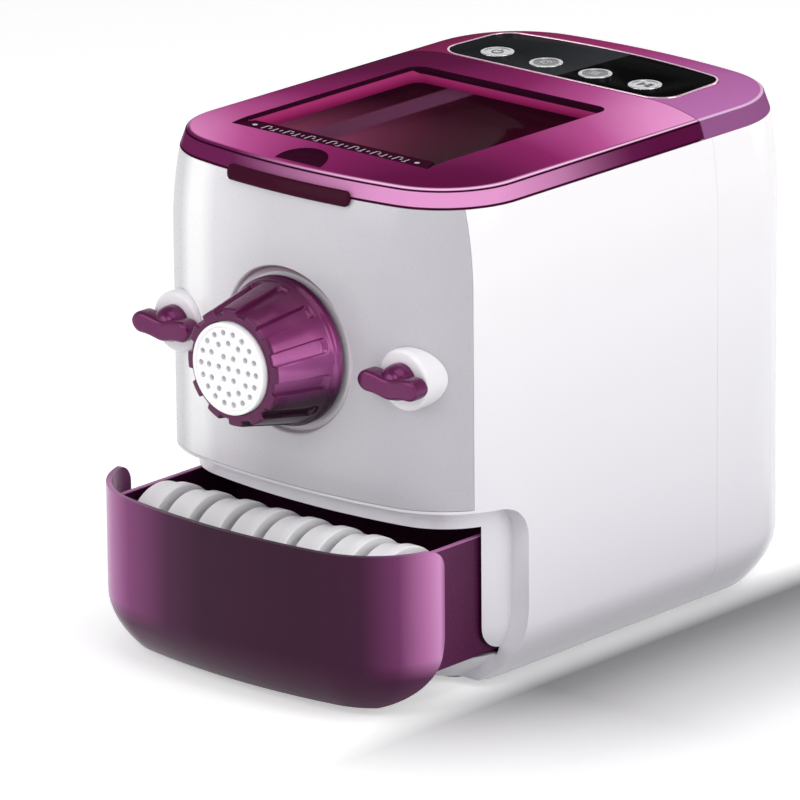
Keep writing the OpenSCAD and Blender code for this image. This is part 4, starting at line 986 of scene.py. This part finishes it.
def lid_sweep():
    """Room for the rear edge of the lid, which turns about the hinge."""
    reach = LID_SEAM_Y + LID_GAP / 2 - HINGE_Y
    half = [(math.hypot(reach, 0.5), HALF_W - RIM_LEAN)]
    half += [(math.hypot(reach, z - HINGE_Z), HALF_W - t)
             for t, z in crown_profile(RIM_Z) if z > HINGE_Z + 0.6]
    end = half[0][1]
    return lathe([(0, -end)] + [(r, -x) for r, x in half] + half[::-1] + [(0, end)], 128,
                 facing_right(0, HINGE_Y, HINGE_Z))


def make_cap():
    crown = crown_profile(RIM_Z)
    cap = cut(loft(crown, "control_cap_skin", CROWN_STEP), crown_hollow(2),
              block((-SIDE, -BACK, 0), (SIDE, LID_SEAM_Y + LID_GAP, HIGH)), lid_sweep(),
              slab(glass_outline(1.5), GLASS_Z, GLASS_Z + 10), *button_holes())
    follow_skins(cap, [crown], CROWN_TOLERANCE)
    dress(cap, "cap_violet", "base", "control_cap")


def make_glass():
    glass = cut(slab(glass_outline(0), GLASS_Z, GLASS_Z + 2, "control_glass_plate"), *button_holes())
    dress(soften(glass, 0.25), "black_glass", "base", "control_glass")
    trim = cut(slab(glass_outline(1.3), GLASS_Z, GLASS_Z + 2.3, "panel_trim_ring"),
               slab(glass_outline(0.1), GLASS_Z - 1, GLASS_Z + 5))
    dress(soften(trim, 0.3), "trim_rose", "base", "panel_trim")


def arc_strip(r0, r1, q0, q1, n=24):
    """Outline of a piece of a ring between two angles in degrees."""
    angles = [math.radians(q0 + (q1 - q0) * i / n) for i in range(n + 1)]
    return ([(r1 * math.cos(q), r1 * math.sin(q)) for q in angles]
            + [(r0 * math.cos(q), r0 * math.sin(q)) for q in angles[::-1]])


# Plain signs on the buttons: ring with a stroke, clock, three lines, start and pause.
BUTTON_MARKS = [
    [arc_strip(2.6, 3.5, -240, 60), box_outline(-0.45, 0.6, 0.45, 4.4)],
    [arc_strip(2.4, 3.2, 20, 320), box_outline(-0.4, -0.4, 0.4, 2.2), box_outline(-0.4, -0.4, 1.8, 0.4)],
    [box_outline(-3.2, y, 3.2, y + 0.8) for y in (-2.4, -0.4, 1.6)],
    [[(-3.4, -3.0), (0.9, 0), (-3.4, 3.0)], *[box_outline(x, -3.0, x + 0.9, 3.0) for x in (1.6, 3.3)]]]


def make_buttons():
    """Four buttons with a flange under the cap. The outer two have silver faces, the inner two dark ones."""
    top, flange, r = TOP_Z + 0.7, TOP_Z - 4.6 - SEAM, BUTTON_R
    stem_z, flange_z, flange_r = 278.2, flange - 1.6, BUTTON_R + 1.5
    profile = [(0, stem_z), (2, stem_z), (2, flange_z), (flange_r, flange_z), (flange_r, flange), (r, flange)]
    profile += filleted([(r, flange + 0.01), (r, top), (r - 1.7, top), (r - 2.2, top - 0.35),
                         (0, top - 0.12)], [0, 0.5, 0.3, 0.2, 0])
    for k, x in enumerate(BUTTONS):
        face, sign = ("button_silver", "mark_dark") if k in (0, 3) else ("button_dark", "mark_silver")
        place, body = upright(x, BUTTON_Y), f"key_{k + 1}"
        button = sharpen(lathe(profile, 96, place, f"button_cap_{k + 1}"), 30)
        paint(button, "button_silver", face,
              lambda c, n: math.hypot(c.x - x, c.y - BUTTON_Y) < r - 2.0 and c.z > top - 1)
        dress(button, "button_silver", body, f"button_{k + 1}", slot=face)
        mark = plates(f"button_mark_{k + 1}", BUTTON_MARKS[k], top - 0.4, top - 0.05, place)
        dress(mark, sign, body)


def squared(value, power):
    """A sine or cosine pushed outwards, for sections between round and square."""
    return math.copysign(abs(value) ** power, value)


def section_angles(n):
    return [(math.cos(q), math.sin(q)) for q in (2 * math.pi * k / n for k in range(n))]


def make_grip():
    """Dark grip along the front of the lid, with a rounded section and rounded ends."""
    half, t_mid, z_mid, stations = 44.0, RIM_LEAN - 1.55, RIM_Z + 0.25, 61
    rings = []
    for k in range(stations):
        s = math.sin(QUARTER * (2 * k / (stations - 1) - 1))
        end = max(0.0, (abs(s) - 0.93) / 0.07)
        shrink = max(0.02, math.sqrt(max(0.0, 1 - end * end)))
        q = math.asin(half * s / FRONT_R)
        points = []
        for ca, sa in section_angles(28):
            z = z_mid + 4.2 * squared(sa, 0.5) * shrink
            t = t_mid + 1.25 * squared(ca, 0.6) * (0.4 + 0.6 * shrink) + 0.18 * (z - z_mid)
            points.append(((FRONT_R - t) * math.sin(q), FRONT_CY - (FRONT_R - t) * math.cos(q), z))
        rings.append(points)
    dress(sharpen(solids("lid_grip_bar", [rings]), 50), "grip_dark", "lid", "lid_grip")


make_lid()
make_window()
make_window_strip()
make_cap()
make_glass()
make_buttons()
make_grip()

# ---------------------------------------------------------------- drawer and dies
FRONT_GAP, DRAWER_WALL, TRAY_WALL = 0.7, 3.0, 2.5
TRAY_Z, TRAY_TOP, TRAY_W, TRAY_L = 19.0, 86.0, 196.0, 108.0
TRAY_REAR = COVE_Y - COVE_GAP - 39 + TRAY_L
DIE_KINDS = [
    ([(8, 6), (16, 12)], 1.2), ([(10, 8), (18, 14)], 1.6), ([(9, 5), (17, 9)], 2.2), ([(12, 7)], 3.0),
    ([(6, 5), (12, 10), (19, 16)], 1.0), ([(13, 6)], 3.6), ([(10, 6), (18, 10)], 2.0),
    ([(9, 4), (18.5, 9)], 2.6)]
DIE_STEP_R, DIE_SHARP = 22.8, 34


def pull_open(ob):
    """Moves a piece of the drawer from its shut place to where the photo shows it."""
    ob.data.transform(Matrix.Translation((0, -DRAWER_OPEN * MM, 0)))


def make_drawer():
    inside = FRONT_GAP + DRAWER_WALL
    front = cut(loft(body_profile(FOOT_H + 1.5, COVE_Z - COVE_GAP, FRONT_GAP), "drawer_front_skin"),
                loft(body_profile(TRAY_Z - TRAY_WALL - 6, COVE_Z + 20, inside)),
                loft(body_profile(FOOT_H - 2, TRAY_Z - 1, COVE_D - 1)))
    meet(front, prism(cove_outline(COVE_GAP), WIDE))
    pull_open(front)
    follow_skins(front, skins(COVE_TOP, FRONT_GAP, inside), shift_y=-DRAWER_OPEN)
    dress(front, "drawer_plum", "drawer", "drawer_front")

    half, rear = TRAY_W / 2 - TRAY_WALL, TRAY_REAR - TRAY_WALL
    tray = meet(loft(body_profile(TRAY_Z, TRAY_TOP, inside + 0.1), "drawer_tray_shell"),
                block((-TRAY_W / 2, -SIDE, TRAY_Z), (TRAY_W / 2, TRAY_REAR, TRAY_TOP)))
    room = meet(loft(body_profile(TRAY_Z + TRAY_WALL, TRAY_TOP + 10, inside + TRAY_WALL)),
                block((-half, -SIDE, 0), (half, rear, SIDE)))
    cut(tray, room)
    pull_open(tray)
    dress(sharpen(tray), "tray_plum", "drawer", "drawer_tray", slot="drawer_plum")


def die_holes(rings, r, z0, z1, place, steps=20):
    """Cutter for rings of round holes, each ring (radius, count)."""
    holes = []
    for ring_r, count in rings:
        for k in range(count):
            q = 2 * math.pi * k / count
            holes.append(circle(ring_r * math.cos(q), ring_r * math.sin(q), r, steps))
    return plates("cutter", holes, z0, z1, place)


def make_spare_dies():
    r, t, pitch, die_y, die_z = 27.8, 17.0, 23.2, -134, 62.4
    outer = filleted([(DIE_STEP_R, 11), (DIE_STEP_R, 0), (r - 1.5, 0), (r - 1.5, t - 7), (r, t - 6.4), (r, t),
                      (0.0, t)], [0, 0.5, 0.9, 0.2, 0.5, 1.1, 0], 4)
    profile = [(0, t - 6), (DIE_STEP_R, t - 6)] + outer[1:]
    for k, (rings, hole_r) in enumerate(DIE_KINDS):
        place = facing_right((k - 3.5) * pitch - t / 2, die_y, die_z)
        die = lathe(profile, 96, place, f"spare_die_{k + 1}_disc")
        cut(die, die_holes(rings, hole_r, t - 9, t + 2, place))
        dress(sharpen(die, DIE_SHARP), "die_white", "drawer", f"spare_die_{k + 1}")


make_drawer()
make_spare_dies()

# ---------------------------------------------------------------- nut, die in use and wing knobs
NUT_Y0, NUT_L, NUT_R, NUT_RIM = -FRONT + 2, 43.0, 41.0, 31.5
BARREL_Y, DIE_FLANGE_R, NUT_BORE_R = -160.0, 27.5, 28.3
DIE_FACE_R = 25.2
DIE_FACE_Y = -FRONT + 1 - NUT_L - 2.5
GROOVES, GROOVE_START, GROOVE_D, GROOVE_HALF_W, MIDDLE_R = 12, 18, 2.7, 4.3, 36


def smooth_step(x, a, b):
    f = min(1.0, max(0.0, (x - a) / (b - a)))
    return f * f * (3 - 2 * f)


def grooved(r, h, off):
    """Radius of the nut at height h, off radians beside the middle of a groove."""
    across = off * r
    w = GROOVE_HALF_W * (0.86 + 0.14 * (r - NUT_RIM) / (NUT_R - NUT_RIM))
    end = smooth_step(h - 0.16 * max(0, across - w + 2.4) ** 2, 8.3, 10.2)
    return r - GROOVE_D * (1 - smooth_step(across, w - 0.55, w + 0.35)) * end


def make_nut():
    """Conical nut with twelve shallow grooves that run out through its rim."""
    h0, h1, r0, r1 = 6.4, NUT_L - 1.4, NUT_R - 1.5, NUT_RIM + 0.9
    heights = [6.4, 7.4, 8.2, 8.7, 9.1, 9.5, 9.9, 10.4, 11.0, 12.0]
    heights += [12 + (h1 - 12) * k / 12 for k in range(1, 13)]
    outer = [(NUT_R - 0.8, 0), (NUT_R, 0.8), (NUT_R, 3.6), (NUT_R - 0.25, 4.6), (NUT_R - 0.9, 5.4)]
    outer += [(r0 + (r1 - r0) * (h - h0) / (h1 - h0), h) for h in heights]
    outer += [(NUT_RIM + 0.72, NUT_L - 0.8), (NUT_RIM + 0.3, NUT_L - 0.25), (NUT_RIM - 0.4, NUT_L)]
    lip = DIE_FACE_R + 0.3
    inner = [(lip + 0.5, NUT_L), (lip, NUT_L - 0.5), (lip, NUT_L - 4.5), (NUT_BORE_R, NUT_L - 4.5),
             (NUT_BORE_R, 0)]
    offsets = [-7.6, -6.6, -5.6, -4.95, -4.6, -4.35, -4.1, -3.85, -3.5, -2.6, -1.3, 0]
    offsets += [-o for o in offsets[-2::-1]]
    pitch, turn = 2 * math.pi / GROOVES, 360 / GROOVES
    angles = []
    for g in range(GROOVES):
        centre = math.radians(GROOVE_START + turn * g)
        angles += [centre + o / MIDDLE_R for o in offsets] + [centre + pitch / 2]
    columns = []
    for q in sorted(angles):
        off = abs(math.radians((math.degrees(q) - GROOVE_START + turn / 2) % turn - turn / 2))
        columns.append(column([(grooved(r, h, off) if h > 8.0 else r, h) for r, h in outer] + inner, q))
    nut = turned("locking_nut_cone", columns, closed=True, place=facing_front(0, NUT_Y0, SHAFT_Z))
    dress(sharpen(nut, 40), "nut_plum", "nut", "locking_nut", slot="knob_plum")


def make_die():
    length = BARREL_Y - DIE_FACE_Y
    place = facing_front(0, BARREL_Y, SHAFT_Z)
    profile = [(0, 3), (DIE_STEP_R, 3), (DIE_STEP_R, 0), (DIE_FLANGE_R, 0), (DIE_FLANGE_R, 5),
               (DIE_FACE_R, 5)]
    profile += filleted([(DIE_FACE_R, 5.1), (DIE_FACE_R, length), (23.2, length), (22.5, length - 0.9),
                         (0, length - 0.9)], [0, 0.8, 0.3, 0.3, 0], 4)
    die = lathe(profile, 128, place, "shaping_die_disc")
    cut(die, die_holes([(0, 1), (7, 6), (14, 12), (19.6, 18)], 1.6, -2, length + 4, place, 24))
    dress(sharpen(die, DIE_SHARP), "die_white", "die", "shaping_die")


PANEL_AT_KNOB = front_skin_y(KNOB_X)
WASHER_Y, WASHER_REAR_Y = PANEL_AT_KNOB - 5.6, PANEL_AT_KNOB + 14
KNOB_Y = WASHER_Y - SEAM
WASHER_R, STUD_BORE_R = 17, 4.06


def make_knob(side):
    """A white washer seated on the panel and the wing knob before it."""
    name = "right" if side > 0 else "left"
    depth = WASHER_REAR_Y - WASHER_Y
    profile = filleted([(STUD_BORE_R, 0), (WASHER_R, 0), (WASHER_R, depth), (STUD_BORE_R, depth)],
                       [0, 0, 2.6, 0], 8)
    place = facing_front(side * KNOB_X, WASHER_REAR_Y, KNOB_Z)
    washer = lathe(profile, 96, place, f"{name}_washer_ring", closed=True)
    cut(washer, loft(body_profile(KNOB_Z - 40, KNOB_Z + 40, -SEAM)))
    dress(sharpen(washer, 34), "white_gloss", f"{name}_washer_body", f"{name}_washer")

    place = facing_front(side * KNOB_X, KNOB_Y, KNOB_Z)
    dome = [(10 * math.cos(q) ** 0.6, 2 + 9.4 * math.sin(q)) for q in (QUARTER * k / 14 for k in range(14))]
    hub = lathe([(0, 0), (10, 0)] + dome + [(0, 11.4)], 96, place)
    half, end_r, front, back, stations = 20.5, 6.0, 12.8, 1.6, 72
    rings = []
    for k in range(stations):
        x = half * math.sin(QUARTER * (2 * k / (stations - 1) - 1)) * 0.9995
        over = max(0.0, abs(x) - (half - end_r))
        tip = math.sqrt(max(0.0, end_r ** 2 - over ** 2)) / end_r
        waist = math.exp(-(x / 8.5) ** 2)
        top = end_r * tip - 2.3 * waist
        bottom = -end_r * tip - 2.0 * math.exp(-(x / 7.0) ** 2)
        zc, zh = (top + bottom) / 2, (top - bottom) / 2
        yc, yh = (front + back) / 2, (front - back) / 2 - 0.9 * (1 - tip) - 0.5 * waist
        rings.append([(x, zc + zh * squared(sa, 0.42), yc + yh * squared(ca, 0.34))
                      for ca, sa in section_angles(40)])
    knob = solids(f"{name}_wing_knob_bar", [rings], place)
    cut(join(knob, hub), drum(STUD_BORE_R, -1, 7, 48, place))
    dress(sharpen(knob, 40), "knob_plum", f"{name}_knob", f"{name}_wing_knob")


FEET = ((-70, -74), (70, -74), (-80, 128), (80, 128))


def make_feet():
    profile = filleted([(0, 0), (8.6, 0), (9.5, 1.6), (9.5, 5), (0, 5)], [0, 0.6, 0.8, 0, 0])
    feet = join(*[lathe(profile, 64, upright(x, y), "feet_pads") for x, y in FEET])
    dress(sharpen(feet), "foot_rubber", "base", "feet")


make_nut()
make_die()
make_knob(-1)
make_knob(1)
make_feet()

# ---------------------------------------------------------------- camera, lights, floor
scene = bpy.context.scene
scene.view_settings.view_transform = "Standard"
CAMERA_TURN, CAMERA_TILT, CAMERA_ROLL = math.radians(41.858), math.radians(17.526), math.radians(-0.486)
FLOOR_LIFT = 0.45


def make_camera():
    """The camera fitted to the photo."""
    az, el, roll = CAMERA_TURN, CAMERA_TILT, CAMERA_ROLL
    back = Vector((math.sin(az) * math.cos(el), -math.cos(az) * math.cos(el), math.sin(el)))
    right = Vector((math.cos(az), math.sin(az), 0))
    up = back.cross(right)
    across = right * math.cos(roll) + up * math.sin(roll)
    upward = up * math.cos(roll) - right * math.sin(roll)
    place = Vector((-0.0808, 0.052, 0.09196)) + back * 4.6961
    cam = bpy.data.objects.new("camera", bpy.data.cameras.new("camera"))
    cam.data.lens, cam.data.sensor_width = 380.35, 36
    cam.data.clip_start, cam.data.clip_end = 0.1, 60
    cam.matrix_world = Matrix(((across.x, upward.x, back.x, place.x), (across.y, upward.y, back.y, place.y),
                               (across.z, upward.z, back.z, place.z), (0, 0, 0, 1)))
    scene.collection.objects.link(cam)
    scene.camera = cam


def soft_light(name, place, target, size, power):
    data = bpy.data.lights.new(name, "AREA")
    data.shape = "RECTANGLE"
    data.size = data.size_y = size
    data.energy = power
    ob = bpy.data.objects.new(name, data)
    ob.location = place
    ob.rotation_euler = (Vector(target) - Vector(place)).to_track_quat("-Z", "Y").to_euler()
    scene.collection.objects.link(ob)


def make_world():
    """Even light all round, a little stronger near the horizon than overhead."""
    world = bpy.data.worlds.new("studio")
    scene.world = world
    world.use_nodes = True
    tree = world.node_tree
    tree.nodes.clear()
    out, sky, coords, split, ramp = (tree.nodes.new("ShaderNode" + kind) for kind in (
        "OutputWorld", "Background", "TexCoord", "SeparateXYZ", "ValToRGB"))
    horizon, overhead = ramp.color_ramp.elements
    horizon.color = (0.86, 0.86, 0.87, 1)
    overhead.position, overhead.color = 0.75, (0.34, 0.34, 0.345, 1)
    sky.inputs["Strength"].default_value = 0.9
    for source, socket in ((coords.outputs["Generated"], split.inputs[0]),
                           (split.outputs["Z"], ramp.inputs["Fac"]),
                           (ramp.outputs["Color"], sky.inputs["Color"]), (sky.outputs[0], out.inputs[0])):
        tree.links.new(source, socket)


def floor_material():
    """White paper with a painted shadow that greys it beside the body. What is seen of it directly, mirrored
    or through glass is lifted.
    """
    f = Finish("floor_paper", Roughness=0.7, Specular_IOR_Level=0.1)
    # Painted shadow: grey beside the body's right side, fading outwards.
    beside = f.ramp(f.span("X", 0.116, 0.38), (0.0, 112, 111, 113), (0.06, 122, 121, 123),
                    (0.15, 148, 147, 149), (0.25, 172, 171, 173), (0.36, 190, 189, 191),
                    (0.5, 214, 213, 214), (0.7, 234, 234, 234), (1.0, 247, 247, 247))
    # How far along the body the painted shadow reaches.
    along = f.times(f.times(f.span("Y", -0.28, -0.06), f.span("Y", 0.36, 0.16)), f.span("X", 0.09, 0.12))
    paper = f.mix(f.clouds(3, 0.3), (248, 248, 248), (246, 246, 246))
    painted_shadow_paper = f.mix(along, paper, beside)
    rays = f.node("LightPath", {}).outputs
    seen = f.math("MAXIMUM", rays["Is Camera Ray"],
                  f.math("MAXIMUM", rays["Is Glossy Ray"], rays["Is Transmission Ray"]))
    f.feed("Base Color", painted_shadow_paper)
    f.feed("Emission Color", painted_shadow_paper)
    f.feed("Emission Strength", f.times(seen, FLOOR_LIFT))
    return f.mat


def make_floor():
    """A wide white floor that curves up into a backdrop far behind the object. Metres."""
    half_w, far, bend, top = 12.0, 8.0, 1.2, 4.0
    rows = [(-half_w, 0.0), (far, 0.0)]
    rows += [(far + bend * math.sin(q), bend * (1 - math.cos(q)))
             for q in (QUARTER * k / 16 for k in range(1, 17))]
    rows.append((far + bend, top))
    turn = Matrix.Rotation(CAMERA_TURN, 4, "Z")
    verts = [(turn @ Vector((x, y, z))) / MM for y, z in rows for x in (-half_w, half_w)]
    faces = [(2 * k, 2 * k + 1, 2 * k + 3, 2 * k + 2) for k in range(len(rows) - 1)]
    floor = new_object("floor", verts, faces)
    floor.data.materials.append(floor_material())


make_camera()
make_world()
make_floor()
soft_light("overhead", (0.5, -0.2, 2.0), (0, 0, 0.12), 1.6, 12)
soft_light("right_side", (1.9, 0.1, 0.9), (0, 0.05, 0.13), 1.2, 11)
soft_light("front_left", (-0.9, -1.9, 0.7), (0, 0, 0.12), 1.1, 8)
soft_light("front_top", (0.3, -1.6, 1.3), (0, -0.1, 0.07), 0.9, 7)
soft_light("rear", (0.9, 2.4, 0.5), (0, 0.1, 0.14), 1.0, 7)
